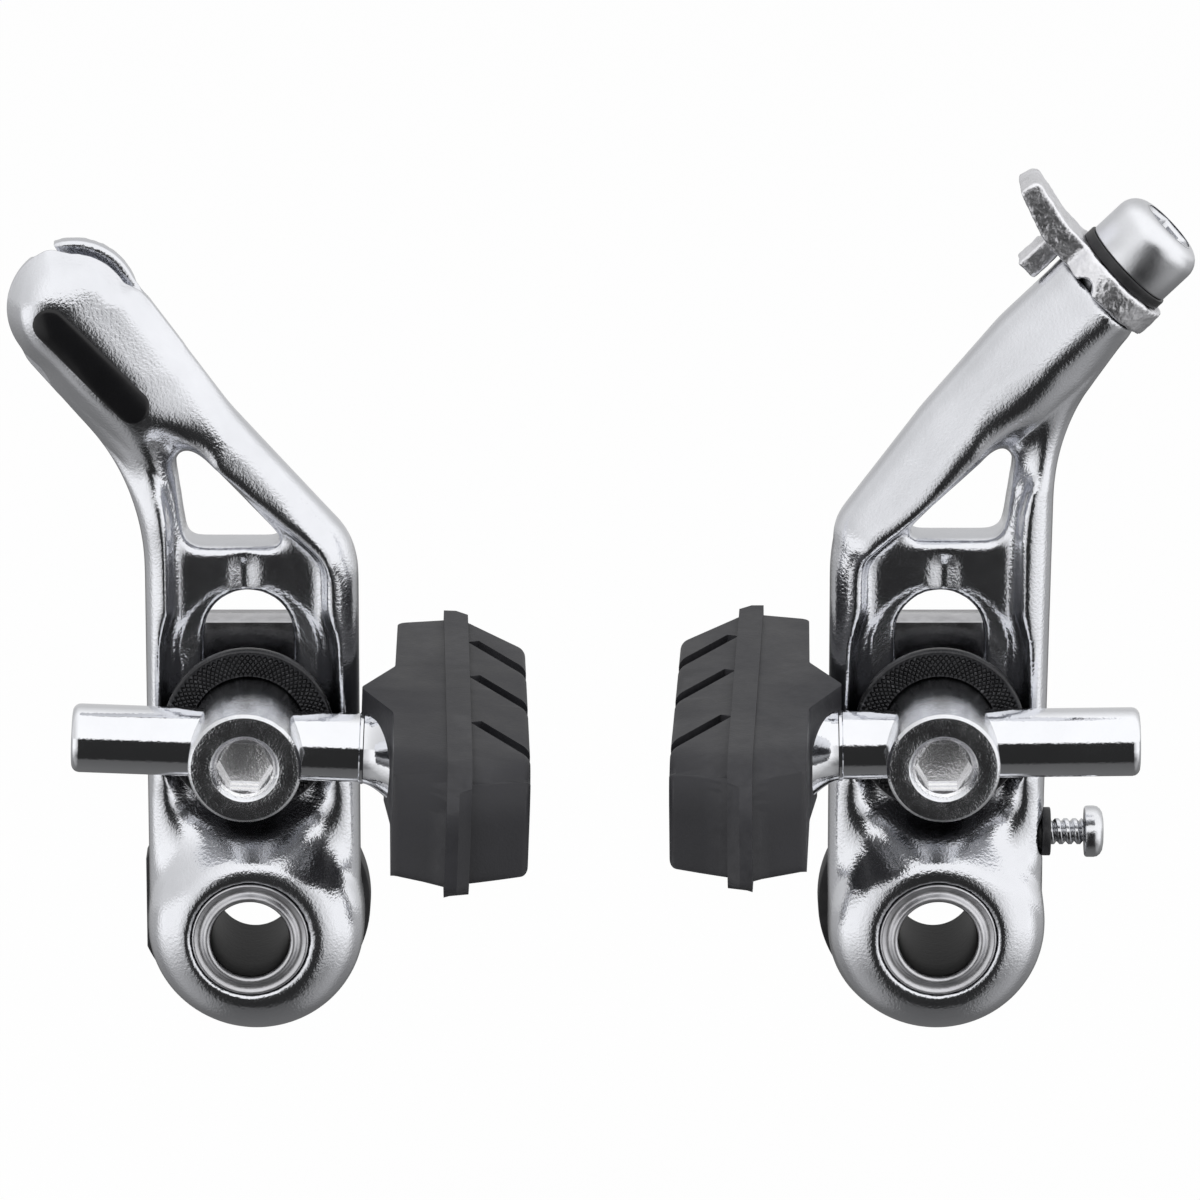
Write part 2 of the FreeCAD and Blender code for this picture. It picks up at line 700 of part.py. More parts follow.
def make_cable_bolt():
    """Cable clamp bolt with a rounded head and a hexagon socket."""
    head = clamp_plate_thickness + clamp_washer_thickness
    top = head + cable_bolt_head_height
    blank = Part.makeCylinder(cable_bolt_head_radius, cable_bolt_head_height, FreeCAD.Vector(0, 0, head))
    blank = blank.makeFillet(cable_bolt_head_round, [e for e in blank.Edges if e.BoundBox.ZMin > top - 1e-4])
    shank_length = head + cable_bolt_hole_depth - 1.0
    shank = Part.makeCylinder(bolt_radius, shank_length, FreeCAD.Vector(0, 0, 1.0 - cable_bolt_hole_depth))
    socket = hexagon(hex_width, far, -far)
    socket.rotate(FreeCAD.Vector(0, 0, 0), FreeCAD.Vector(1, 0, 0), 90)
    socket.translate(FreeCAD.Vector(0, 0, top - hex_depth + far))
    return on_clamp_end(blank.fuse(shank).removeSplitter().cut(socket))


def make_tension_screw():
    """Screw that pushes the spring's leg, with a domed head and a cross recess."""
    tip = spring_radius + spring_wire_radius + seat_clearance
    top = screw_shank_end + screw_head_thickness
    outline = [
        (0, tip),
        (screw_shank_radius, tip),
        (screw_shank_radius, screw_shank_end),
        (screw_head_radius, screw_shank_end),
        (screw_head_radius, top - 0.9),
        (screw_head_radius - 0.5, top - 0.3),
        (screw_head_radius - 1.3, top),
        (0, top),
    ]
    screw = turned(outline, FreeCAD.Vector(0, -screw_depth, screw_height), FreeCAD.Vector(1, 0, 0))
    long_side = screw_head_radius
    for size_y, size_z in [(long_side, screw_slot_width), (screw_slot_width, long_side)]:
        corner = FreeCAD.Vector(
            top - screw_slot_depth, -screw_depth - size_y / 2, screw_height - size_z / 2)
        screw = screw.cut(Part.makeBox(far, size_y, size_z, corner))
    return screw


def make_tension_bush():
    """Black bush that the tension screw runs in."""
    inner = spring_radius + spring_wire_radius + slip_gap
    hole = screw_shank_radius + running_clearance
    outline = [
        (hole, inner),
        (bush_radius, inner),
        (bush_radius, bush_seat),
        (bush_flange_radius, bush_seat),
        (bush_flange_radius, bush_seat + bush_flange_thickness),
        (hole, bush_seat + bush_flange_thickness),
    ]
    return turned(outline, FreeCAD.Vector(0, -screw_depth, screw_height), FreeCAD.Vector(1, 0, 0))


def place(shape, side):
    """Move a shape drawn for the right side onto its own side."""
    if side == "left":
        return shape.mirror(FreeCAD.Vector(0, 0, 0), FreeCAD.Vector(1, 0, 0))
    shape.translate(FreeCAD.Vector(pivot_spacing, 0, 0))
    return shape


def sloped(shape, side):
    """Turn a piece of the pad group about the eye bolt's axis, to the slope that the pad is set at."""
    shape.rotate(FreeCAD.Vector(0, 0, clamp_height), FreeCAD.Vector(0, 1, 0), -post_slopes[side])
    return shape


def save(shape, node):
    """Write one sub-part as a STEP file."""
    solids = shape.Solids
    piece = solids[0] if len(solids) == 1 else Part.makeCompound(solids)
    piece.exportStep("parts/" + node + ".step")
    print(node, len(solids), "solids", round(piece.Volume, 1), "mm3", piece.isValid())


os.makedirs("parts", exist_ok=True)
for side in ("left", "right"):
    save(place(make_arm(side), side), side + "_arm")
    save(place(make_sleeve(), side), side + "_pivot_sleeve")
    save(place(make_return_spring(), side), side + "_return_spring")
    save(place(make_spring_cover(), side), side + "_spring_cover")
    save(place(make_knurled_washer(), side), side + "_knurled_washer")
    save(place(make_rear_plate(), side), side + "_rear_plate")
    save(place(make_clamp_nut(), side), side + "_clamp_nut")
    save(place(sloped(make_eye_bolt(), side), side), side + "_eye_bolt")
    save(place(sloped(make_pad_post(side), side), side), side + "_pad_post")
    save(place(sloped(make_brake_pad(side), side), side), side + "_brake_pad")
save(place(make_badge(), "left"), "left_badge")
save(place(make_clamp_plate(), "right"), "cable_clamp_plate")
save(place(make_clamp_washer(), "right"), "cable_clamp_washer")
save(place(make_cable_bolt(), "right"), "cable_clamp_bolt")
save(place(make_tension_screw(), "right"), "tension_screw")
save(place(make_tension_bush(), "right"), "tension_bush")
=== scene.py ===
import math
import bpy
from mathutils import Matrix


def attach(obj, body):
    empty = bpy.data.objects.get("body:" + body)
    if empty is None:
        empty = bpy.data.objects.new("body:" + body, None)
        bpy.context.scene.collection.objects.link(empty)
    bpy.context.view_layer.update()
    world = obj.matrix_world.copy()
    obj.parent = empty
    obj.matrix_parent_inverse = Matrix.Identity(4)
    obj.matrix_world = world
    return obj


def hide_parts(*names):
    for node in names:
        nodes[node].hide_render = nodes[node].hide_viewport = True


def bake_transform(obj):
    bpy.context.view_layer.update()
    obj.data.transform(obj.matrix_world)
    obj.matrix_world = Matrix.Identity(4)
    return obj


bl_info = {
    "name": "Cantilever Brake",
    "version": (1, 0, 0),
    "blender": (4, 5, 0),
    "location": "3D View > Sidebar > Brake",
    "description": "Dresses a cantilever rim brake with finished pieces, materials and a studio",
    "category": "Add Mesh",
}

import bmesh
import bpy
import numpy as np
from mathutils import Matrix, Vector
from mathutils.bvhtree import BVHTree

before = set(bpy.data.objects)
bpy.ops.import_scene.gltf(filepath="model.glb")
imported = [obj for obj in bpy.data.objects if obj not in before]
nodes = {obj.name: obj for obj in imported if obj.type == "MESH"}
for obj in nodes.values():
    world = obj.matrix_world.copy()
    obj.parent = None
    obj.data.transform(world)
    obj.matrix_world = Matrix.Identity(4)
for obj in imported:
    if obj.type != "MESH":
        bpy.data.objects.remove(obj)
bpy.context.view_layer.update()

# Sizes of the frame that the finished pieces are fitted to, in millimetres.
# The outboard coordinate u runs away from the wheel, from each arm's own pivot axis.
# A depth runs forwards, against Y.
SIDES = {"left": -1, "right": 1}
PIVOT_SPACING = 70.6
BORE_RADIUS = 4.03
FLANGE_BACK = 14.6

ARM_BACK = 4.5
ARM_MIDDLE = 8.3
WEB_FRONT = 9.9
SLOT_HALF_WIDTH = 4.55
SLOT_BOTTOM, SLOT_TOP = 13.0, 35.7
WINDOW_BOTTOM, WINDOW_TOP = 39.6, 55.0
HOLLOW_TIPS = {"left": (8.9, 52.6), "right": (9.6, 53.3)}
BULB = (17.4, 65.3)
BULB_RADIUS = 6.8
BAR_WAIST = (5.5, 51.8)
BAR_WAIST_RADIUS = 5.1
BARS = {
    "left": [(*BULB, BULB_RADIUS), (*BAR_WAIST, BAR_WAIST_RADIUS), (-5.9, 39.3, 4.9)],
    "right": [(15.8, 67.1, 5.15), (9.4, 60.8, 5.15), (1.6, 52.3, 4.6), (-6.1, 41.3, 4.9)],
}
BAR_SKEWS = {"left": 0.45, "right": 0.5}

CLAMP_HEIGHT = 21.8
CLAMP_DOWN, CLAMP_UP = 0.8, 7.5
PLATE_HALF_WIDTH = 7.0
PLATE_BOTTOM, PLATE_TOP = 12.5, 38.4
WASHER_BACK, WASHER_FRONT = 9.92, 13.47
WASHER_RADIUS = 8.7
WASHER_BACK_RADIUS = 7.2

POST_DEPTH = 17.27
POST_RADIUS = 3.5
POST_SLOPES = {"left": 2.2, "right": 0.7}
POST_OUTER_ENDS = {"left": 17.8, "right": 20.2}
POST_SHIFTS = {"left": 0.0, "right": 1.4}
COLLAR_START, COLLAR_END = 11.9, 14.6
COLLAR_RADIUS = 5.3
PAD_BACK = 14.7
PAD_HALF_HEIGHT = 6.0
PAD_TOES = {"left": 1.3, "right": 2.2}

CABLE_BOLT_END = (15.8, 67.1)
CABLE_BOLT_LEAN = 45.5
CABLE_BOLT_RADIUS = 2.95
SCREW_DEPTH = 8.5
SCREW_HEIGHT = 9.3

# The photograph's view, in metres and degrees.
VIEW_TARGET = Vector((0.035895, -0.01, 0.03482))
VIEW_TILT = 18
VIEW_LENS = 294

REARWARD = Vector((0, 1, 0))
UPWARD = Vector((0, 0, 1))


def outboard(side, x):
    """Outboard coordinate of a place on one side's arm, in millimetres."""
    return -x if side == "left" else x - PIVOT_SPACING


def across(side, u):
    """The X coordinate, in millimetres, of an outboard coordinate."""
    return -u if side == "left" else u + PIVOT_SPACING


# ---- settings ----

COLOUR = {"subtype": "COLOR", "size": 3, "min": 0, "max": 1}
LENGTH = {"subtype": "DISTANCE", "unit": "LENGTH"}


class BrakeFinish(bpy.types.PropertyGroup):
    alloy: bpy.props.FloatVectorProperty(
        name="Alloy", description="Colour of the polished arms",
        default=(0.755, 0.765, 0.8), **COLOUR)
    chrome: bpy.props.FloatVectorProperty(
        name="Chrome", description="Colour of the posts and bolts",
        default=(0.82, 0.83, 0.86), **COLOUR)
    dark_steel: bpy.props.FloatVectorProperty(
        name="Dark steel", description="Colour of the knurled washers",
        default=(0.022, 0.022, 0.024), **COLOUR)
    rubber: bpy.props.FloatVectorProperty(
        name="Rubber", description="Colour of the brake pads",
        default=(0.019, 0.019, 0.022), **COLOUR)
    black: bpy.props.FloatVectorProperty(
        name="Black", description="Colour of the covers and the badge",
        default=(0.009, 0.009, 0.01), **COLOUR)


class BrakeSizes(bpy.types.PropertyGroup):
    arm_cell: bpy.props.FloatProperty(
        name="Arm cell", description="Cell of the smoothed arm surface",
        default=0.0003, min=0.0002, max=0.002, **LENGTH)
    pad_round: bpy.props.FloatProperty(
        name="Pad round", description="Rounding between the pad's front end and its top",
        default=0.0055, min=0.001, max=0.0058, **LENGTH)
    pad_foot_round: bpy.props.FloatProperty(
        name="Pad foot round", description="Rounding between the pad's front end and its underside",
        default=0.0009, min=0.0003, max=0.003, **LENGTH)
    edge_round: bpy.props.FloatProperty(
        name="Edge round", description="Rounding of machined edges",
        default=0.00012, min=0, max=0.001, **LENGTH)
    knurl_depth: bpy.props.FloatProperty(
        name="Knurl depth", description="Depth of the washers' knurling",
        default=0.00022, min=0, max=0.001, **LENGTH)
    thread_pitch: bpy.props.FloatProperty(
        name="Thread pitch", description="Pitch of the tension screw's thread",
        default=0.0009, min=0.0003, max=0.002, **LENGTH)


# ---- node helpers ----

def add_node(tree, kind, **values):
    """New shader node; a value named after an input sets or feeds it, any other sets a property."""
    node = tree.nodes.new(kind)
    for name, value in values.items():
        label = name.replace("_", " ").title()
        if label not in node.inputs:
            setattr(node, name, value)
        elif isinstance(value, bpy.types.NodeSocket):
            tree.links.new(value, node.inputs[label])
        else:
            node.inputs[label].default_value = value
    return node


def math_node(tree, operation, *values, clamp=False):
    """Math node with sockets or numbers as inputs; returns its output."""
    node = add_node(tree, "ShaderNodeMath", operation=operation, use_clamp=clamp)
    for socket, value in zip(node.inputs, values):
        if isinstance(value, bpy.types.NodeSocket):
            tree.links.new(value, socket)
        else:
            socket.default_value = value
    return node.outputs[0]


def mix_node(tree, factor, first, second):
    """Mix of two colours, each a socket or a value; returns its output."""
    first, second = ((*colour, 1) if isinstance(colour, tuple) else colour for colour in (first, second))
    node = add_node(tree, "ShaderNodeMix", data_type="RGBA", factor=factor, a=first, b=second)
    return node.outputs["Result"]


def ramp_node(tree, value, stops):
    """Colour ramp through grey or coloured stops; returns its colour output."""
    node = tree.nodes.new("ShaderNodeValToRGB")
    elements = node.color_ramp.elements
    while len(elements) < len(stops):
        elements.new(0.5)
    for element, (place, colour) in zip(elements, stops):
        element.position = place
        if isinstance(colour, (int, float)):
            colour = (colour, colour, colour)
        element.color = (*colour, 1)
    tree.links.new(value, node.inputs[0])
    return node.outputs[0]


def wide_ramp(tree, value, stops):
    """Colour ramp over a value that runs from -1 to 1."""
    return ramp_node(tree, math_node(tree, "MULTIPLY_ADD", value, 0.5, 0.5), stops)


def split_node(tree, kind):
    """The X, Y and Z outputs of one kind of coordinates."""
    place = tree.nodes.new("ShaderNodeTexCoord").outputs[kind]
    return add_node(tree, "ShaderNodeSeparateXYZ", vector=place).outputs


def noise_node(tree, scale, detail, roughness=0.5):
    """Noise over the object's own surface; returns its output."""
    place = tree.nodes.new("ShaderNodeTexCoord").outputs["Object"]
    node = add_node(
        tree, "ShaderNodeTexNoise", vector=place, scale=scale, detail=detail, roughness=roughness)
    return node.outputs["Fac"]


def rise_node(tree, value, low, high):
    """A value's rise from 0 at low to 1 at high; returns its output."""
    return add_node(tree, "ShaderNodeMapRange", value=value, from_min=low, from_max=high).outputs[0]


def new_group(name, inputs, *outputs):
    """Shader node group: its tree, its named inputs with their defaults, and its named outputs."""
    tree = bpy.data.node_groups.new(name, "ShaderNodeTree")
    for label, default in inputs.items():
        kind = "NodeSocketColor" if isinstance(default, tuple) else "NodeSocketFloat"
        tree.interface.new_socket(label, in_out="INPUT", socket_type=kind).default_value = default
    for label in outputs:
        kind = "NodeSocketColor" if label == "Color" else "NodeSocketFloat"
        tree.interface.new_socket(label, in_out="OUTPUT", socket_type=kind)
    return tree, tree.nodes.new("NodeGroupInput").outputs, tree.nodes.new("NodeGroupOutput").inputs


def grain_group():
    """Fine and coarse surface waves, as a height for bump."""
    tree, given, result = new_group(
        "Surface grain", {"Fine Scale": 2400.0, "Fine": 0.5, "Coarse Scale": 300.0, "Coarse": 0.5}, "Height")
    layers = []
    for layer in ("Fine", "Coarse"):
        noise = noise_node(tree, given[layer + " Scale"], detail=1.0, roughness=0.6)
        layers.append(math_node(tree, "MULTIPLY", noise, given[layer]))
    tree.links.new(math_node(tree, "ADD", *layers), result["Height"])
    return tree


def patches_group():
    """Uneven patches: a value between two levels and a colour between two colours."""
    tree, given, result = new_group(
        "Uneven patches",
        {"Scale": 200.0, "Low": 0.1, "High": 0.2, "Dark": (0.1, 0.1, 0.1, 1), "Light": (0.2, 0.2, 0.2, 1)},
        "Value", "Color")
    mask = rise_node(tree, noise_node(tree, given["Scale"], detail=4.0, roughness=0.65), 0.3, 0.7)
    level = add_node(tree, "ShaderNodeMapRange", value=mask, to_min=given["Low"], to_max=given["High"])
    tree.links.new(level.outputs[0], result["Value"])
    tree.links.new(mix_node(tree, mask, given["Dark"], given["Light"]), result["Color"])
    return tree


def wear_group():
    """Mask of worn edges, broken up by noise."""
    tree, given, result = new_group("Edge wear", {"Amount": 0.5}, "Mask")
    point = tree.nodes.new("ShaderNodeNewGeometry").outputs["Pointiness"]
    edge = rise_node(tree, point, 0.52, 0.62)
    broken = math_node(tree, "MULTIPLY", edge, noise_node(tree, 900.0, detail=3.0))
    tree.links.new(math_node(tree, "MULTIPLY", broken, given["Amount"], clamp=True), result["Mask"])
    return tree


def crevice_group():
    """Mask of painted shade, where other surfaces lie close."""
    tree, given, result = new_group("Painted crevice shade", {"Amount": 0.5}, "Mask")
    # Painted shade: ambient occlusion finds where other surfaces lie close, and the colour is darkened there.
    near = add_node(tree, "ShaderNodeAmbientOcclusion", samples=6, distance=0.0014)
    closed = rise_node(tree, near.outputs["AO"], 0.75, 0.25)
    tree.links.new(math_node(tree, "MULTIPLY", closed, given["Amount"], clamp=True), result["Mask"])
    return tree


def region_group():
    """Mask of what lies within a radius of an axis along Y, in front of a plane, and fine rings along it."""
    tree, given, result = new_group(
        "Round region", {"Centre X": 0.0, "Centre Z": 0.0, "Radius": 0.004, "Front": 1.0}, "Mask", "Rings")
    x, y, z = split_node(tree, "Object")
    dx = math_node(tree, "SUBTRACT", x, given["Centre X"])
    dz = math_node(tree, "SUBTRACT", z, given["Centre Z"])
    squares = [math_node(tree, "MULTIPLY", step, step) for step in (dx, dz)]
    far = math_node(tree, "SQRT", math_node(tree, "ADD", *squares))
    near = math_node(tree, "LESS_THAN", far, given["Radius"])
    ahead = math_node(tree, "LESS_THAN", y, given["Front"])
    tree.links.new(math_node(tree, "MULTIPLY", near, ahead), result["Mask"])
    radians_per_metre = 5200.0
    wave = math_node(tree, "SINE", math_node(tree, "MULTIPLY", y, radians_per_metre))
    tree.links.new(math_node(tree, "MULTIPLY_ADD", wave, 0.5, 0.5), result["Rings"])
    return tree


# ---- materials ----

groups = {}
materials = {}
# Colour of the painted shade where other surfaces lie close.
CREVICE_SHADE = (0.03, 0.03, 0.032)


def use_group(tree, name, **values):
    """Place a shared group in a material with its own values; returns its outputs."""
    node = tree.nodes.new("ShaderNodeGroup")
    node.node_tree = groups[name + "_group"]
    for key, value in values.items():
        socket = node.inputs[key.replace("_", " ").title()]
        socket.default_value = (*value, 1) if socket.type == "RGBA" else value
    return node.outputs


def scaled(colour, factor):
    """A colour made darker or lighter."""
    return tuple(min(1.0, c * factor) for c in colour)


def new_material(name):
    """A material, its node tree and its main shader."""
    material = bpy.data.materials.new(name)
    material.use_nodes = True
    return material, material.node_tree, material.node_tree.nodes["Principled BSDF"]


def surface(key, name, colour, metallic, roughness, spread, patch_scale, grain, bump, wear=0.0,
            worn=(0.3, 0.3, 0.31), coat=0.0, specular=0.5, crevice=0.0):
    """Material with uneven colour and roughness, a grainy bump, worn edges and painted shade where other
    surfaces lie close.

    The grain is the scale and amount of its fine waves, and then of its coarse ones.
    """
    material, tree, shader = new_material(name)
    shader.inputs["Metallic"].default_value = metallic
    shader.inputs["Specular IOR Level"].default_value = specular
    shader.inputs["Coat Weight"].default_value = coat
    shader.inputs["Coat Roughness"].default_value = 0.15
    patches = use_group(
        tree, "patches", scale=patch_scale, low=roughness[0], high=roughness[1],
        dark=scaled(colour, spread[0]), light=scaled(colour, spread[1]))
    tree.links.new(patches["Value"], shader.inputs["Roughness"])
    tint = patches["Color"]
    if wear:
        tint = mix_node(tree, use_group(tree, "wear", amount=wear)["Mask"], tint, worn)
    # Painted shade: the colour darkens towards a dark grey where other surfaces lie close.
    if crevice:
        tint = mix_node(tree, use_group(tree, "crevice", amount=crevice)["Mask"], tint, CREVICE_SHADE)
    tree.links.new(tint, shader.inputs["Base Color"])
    waves = use_group(
        tree, "grain", fine_scale=grain[0], fine=grain[1], coarse_scale=grain[2], coarse=grain[3])
    relief = add_node(tree, "ShaderNodeBump", strength=1.0, distance=bump, height=waves["Height"])
    tree.links.new(relief.outputs["Normal"], shader.inputs["Normal"])
    materials[key] = material


def change_region(key, centre, radius, front, colour, roughness, metallic):
    """Give a metal's surface near an axis its own colour, roughness and metal."""
    tree = materials[key].node_tree
    shader = tree.nodes["Principled BSDF"]
    region = use_group(tree, "region", centre_x=centre[0], centre_z=centre[1], radius=radius, front=front)
    mask = region["Mask"]
    tone = ramp_node(tree, region["Rings"], [(0.0, colour), (1.0, scaled(colour, 1.6))])
    old_tint = shader.inputs["Base Color"].links[0].from_socket
    tree.links.new(mix_node(tree, mask, old_tint, tone), shader.inputs["Base Color"])
    old_roughness = shader.inputs["Roughness"].links[0].from_socket
    change = math_node(tree, "SUBTRACT", roughness, old_roughness)
    tree.links.new(math_node(tree, "MULTIPLY_ADD", change, mask, old_roughness), shader.inputs["Roughness"])
    metal = math_node(tree, "MULTIPLY_ADD", mask, metallic - 1.0, 1.0)
    tree.links.new(metal, shader.inputs["Metallic"])


def make_materials(finish):
    """All the materials, by their plain names."""
    soft_chrome = scaled(finish.chrome, 0.95)
    surface(
        "alloy", "Polished alloy", finish.alloy, 1.0, roughness=(0.13, 0.21), spread=(0.94, 1.03),
        patch_scale=160.0, grain=(3500.0, 1.0, 300.0, 0.6), bump=0.000029, crevice=0.75)
    surface(
        "chrome", "Chrome", finish.chrome, 1.0, roughness=(0.05, 0.1), spread=(0.96, 1.02),
        patch_scale=150.0, grain=(2700.0, 0.5, 260.0, 0.3), bump=0.00002)
    surface(
        "dark_steel", "Dark steel", finish.dark_steel, 0.6, roughness=(0.22, 0.34), spread=(0.7, 1.2),
        patch_scale=500.0, grain=(2600.0, 0.7, 500.0, 0.5), bump=0.00002, wear=0.5, worn=(0.25, 0.25, 0.26))
    surface(
        "steel", "Plated steel", (0.62, 0.62, 0.64), 1.0, roughness=(0.12, 0.2), spread=(0.8, 1.1),
        patch_scale=300.0, grain=(2600.0, 1.0, 380.0, 0.5), bump=0.000012)
    surface(
        "satin", "Satin chrome", soft_chrome, 1.0, roughness=(0.14, 0.24), spread=(0.9, 1.05),
        patch_scale=420.0, grain=(2700.0, 0.8, 420.0, 0.6), bump=0.00002, crevice=0.6)
    surface(
        "bolt", "Satin bolt", finish.chrome, 1.0, roughness=(0.28, 0.36), spread=(0.93, 1.03),
        patch_scale=300.0, grain=(2700.0, 0.5, 300.0, 0.5), bump=0.00002, crevice=0.6)
    for side in SIDES:
        axis = across(side, 0) / 1000
        sleeve, eye = side + "_sleeve", side + "_eye"
        surface(
            sleeve, side.title() + " pivot sleeve", (0.7, 0.7, 0.725), 1.0, roughness=(0.34, 0.46),
            spread=(0.85, 1.08), patch_scale=300.0, grain=(2600.0, 0.9, 380.0, 0.5), bump=0.00002,
            crevice=0.7)
        # Painted shade: the sleeve's bore is painted near black, standing for the shade inside the hole.
        change_region(sleeve, (axis, 0.0), 0.00408, 1.0, (0.005, 0.005, 0.0055), 0.5, 1.0)
        surface(
            eye, side.title() + " eye bolt", soft_chrome, 1.0, roughness=(0.16, 0.26), spread=(0.9, 1.05),
            patch_scale=420.0, grain=(4000.0, 1.3, 420.0, 0.6), bump=0.00003, crevice=0.5)
        change_region(eye, (axis, CLAMP_HEIGHT / 1000), 0.0031, -0.0206, (0.85, 0.85, 0.88), 0.26, 0.95)
    surface(
        "spring", "Spring steel", (0.36, 0.36, 0.38), 1.0, roughness=(0.22, 0.38), spread=(0.8, 1.1),
        patch_scale=500.0, grain=(3000.0, 0.6, 400.0, 0.4), bump=0.000012)
    surface(
        "cover", "Black nylon", finish.black, 0.0, roughness=(0.42, 0.55), spread=(0.8, 1.3),
        patch_scale=260.0, grain=(2400.0, 0.8, 260.0, 0.4), bump=0.00002, wear=0.5, worn=(0.09, 0.09, 0.1))
    surface(
        "rubber", "Moulded rubber", finish.rubber, 0.0, roughness=(0.46, 0.62), spread=(0.82, 1.22),
        patch_scale=170.0, grain=(2800.0, 0.9, 300.0, 0.5), bump=0.00002, wear=0.4, worn=(0.07, 0.07, 0.075),
        specular=0.4)
    surface(
        "badge", "Gloss black", scaled(finish.black, 0.7), 0.0, roughness=(0.16, 0.24), spread=(0.9, 1.1),
        patch_scale=200.0, grain=(2400.0, 0.4, 240.0, 0.3), bump=0.000006, coat=0.1, specular=0.35)
    surface(
        "forging", "Rough forging", (0.88, 0.88, 0.91), 1.0, roughness=(0.26, 0.4), spread=(0.88, 1.05),
        patch_scale=700.0, grain=(1900.0, 1.0, 700.0, 0.9), bump=0.00009, crevice=0.6)
    surface(
        "black_steel", "Black steel", (0.02, 0.02, 0.022), 0.6, roughness=(0.34, 0.46), spread=(0.8, 1.2),
        patch_scale=300.0, grain=(2600.0, 0.6, 300.0, 0.4), bump=0.000012, wear=0.6, worn=(0.2, 0.2, 0.2))


# ---- mesh helpers ----

def add_object(name, data):
    """New object in the scene."""
    made = bpy.data.objects.new(name, data)
    bpy.context.scene.collection.objects.link(made)
    return made


def new_piece(name, mesh, material, body, slot, *replaced):
    """Link a mesh as a piece that rides on a body and stands for some frame nodes."""
    piece = add_object(name, mesh)
    mesh.materials.clear()
    mesh.materials.append(materials[material])
    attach(piece, body)
    if replaced:
        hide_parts(*replaced)
    return piece


def round_edges(piece, width, angle, harden=False):
    """Bevel the edges of a piece that are sharper than an angle in degrees."""
    bevel = piece.modifiers.new("Edges", "BEVEL")
    bevel.width = width
    bevel.segments = 2
    bevel.limit_method = "ANGLE"
    bevel.angle_limit = math.radians(angle)
    bevel.harden_normals = harden
    bevel.use_clamp_overlap = True


def dress(node, material, edge_round):
    """Give a frame node its material and small rounded edges."""
    piece = nodes[node]
    mesh = piece.data
    mesh.materials.clear()
    mesh.materials.append(materials[material])
    weld = piece.modifiers.new("Weld", "WELD")
    weld.merge_threshold = 1e-6
    if edge_round:
        round_edges(piece, edge_round, 38, harden=True)
    mesh.polygons.foreach_set("use_smooth", [True] * len(mesh.polygons))


def welded(node):
    """A frame node's surface, ready to be worked on, with its points joined."""
    build = bmesh.new()
    build.from_mesh(nodes[node].data)
    bmesh.ops.remove_doubles(build, verts=build.verts, dist=1e-7)
    return build


def finished_mesh(build, name, sharp=None):
    """Mesh of a worked surface, smooth apart from edges over an angle in degrees."""
    mesh = bpy.data.meshes.new(name)
    build.to_mesh(mesh)
    build.free()
    mesh.polygons.foreach_set("use_smooth", [True] * len(mesh.polygons))
    if sharp:
        mesh.set_sharp_from_angle(angle=math.radians(sharp))
    return mesh


def get_points(mesh):
    """Points of a mesh, one in each row."""
    points = np.empty(len(mesh.vertices) * 3)
    mesh.vertices.foreach_get("co", points)
    return points.reshape(-1, 3)


def set_points(mesh, points):
    """Write points in millimetres back to a mesh in metres, with a smooth surface."""
    mesh.vertices.foreach_set("co", (points / 1000).ravel())
    mesh.polygons.foreach_set("use_smooth", [True] * len(mesh.polygons))
    mesh.update()


def remeshed(node, cell):
    """Mesh and points of a frame node's surface in even cells, in millimetres."""
    source = welded(node)
    source.transform(Matrix.Scale(1000, 4))
    mesh = finished_mesh(source, node + "_cells")
    holder = add_object(node + "_cells", mesh)
    remesh = holder.modifiers.new("Cells", "REMESH")
    remesh.mode = "VOXEL"
    remesh.voxel_size = cell * 1000
    graph = bpy.context.evaluated_depsgraph_get()
    result = bpy.data.meshes.new_from_object(holder.evaluated_get(graph))
    bpy.data.objects.remove(holder)
    bpy.data.meshes.remove(mesh)
    return result, get_points(result)


def smooth_points(mesh, points, weights, rounds):
    """Move each point half-way to the middle of its neighbours, times its own weight."""
    edges = np.empty(len(mesh.edges) * 2, dtype=np.int64)
    mesh.edges.foreach_get("vertices", edges)
    edges = edges.reshape(-1, 2)
    starts = np.concatenate([edges[:, 0], edges[:, 1]])
    ends = np.concatenate([edges[:, 1], edges[:, 0]])
    total = len(points)
    count = np.bincount(starts, minlength=total)[:, None]
    for _ in range(rounds):
        sums = [np.bincount(starts, weights=points[ends, axis], minlength=total) for axis in range(3)]
        middle = np.stack(sums, axis=1) / count
        points = points + (middle - points) * (0.5 * weights)[:, None]
    return points


def join_rings(build, rings):
    """Faces between rings of points; a ring of one point closes the end."""
    for lower, upper in zip(rings, rings[1:]):
        steps = max(len(lower), len(upper))
        for i in range(steps):
            j = (i + 1) % steps
            if len(lower) == 1:
                build.faces.new((lower[0], upper[i], upper[j]))
            elif len(upper) == 1:
                build.faces.new((lower[i], lower[j], upper[0]))
            else:
                build.faces.new((lower[i], lower[j], upper[j], upper[i]))


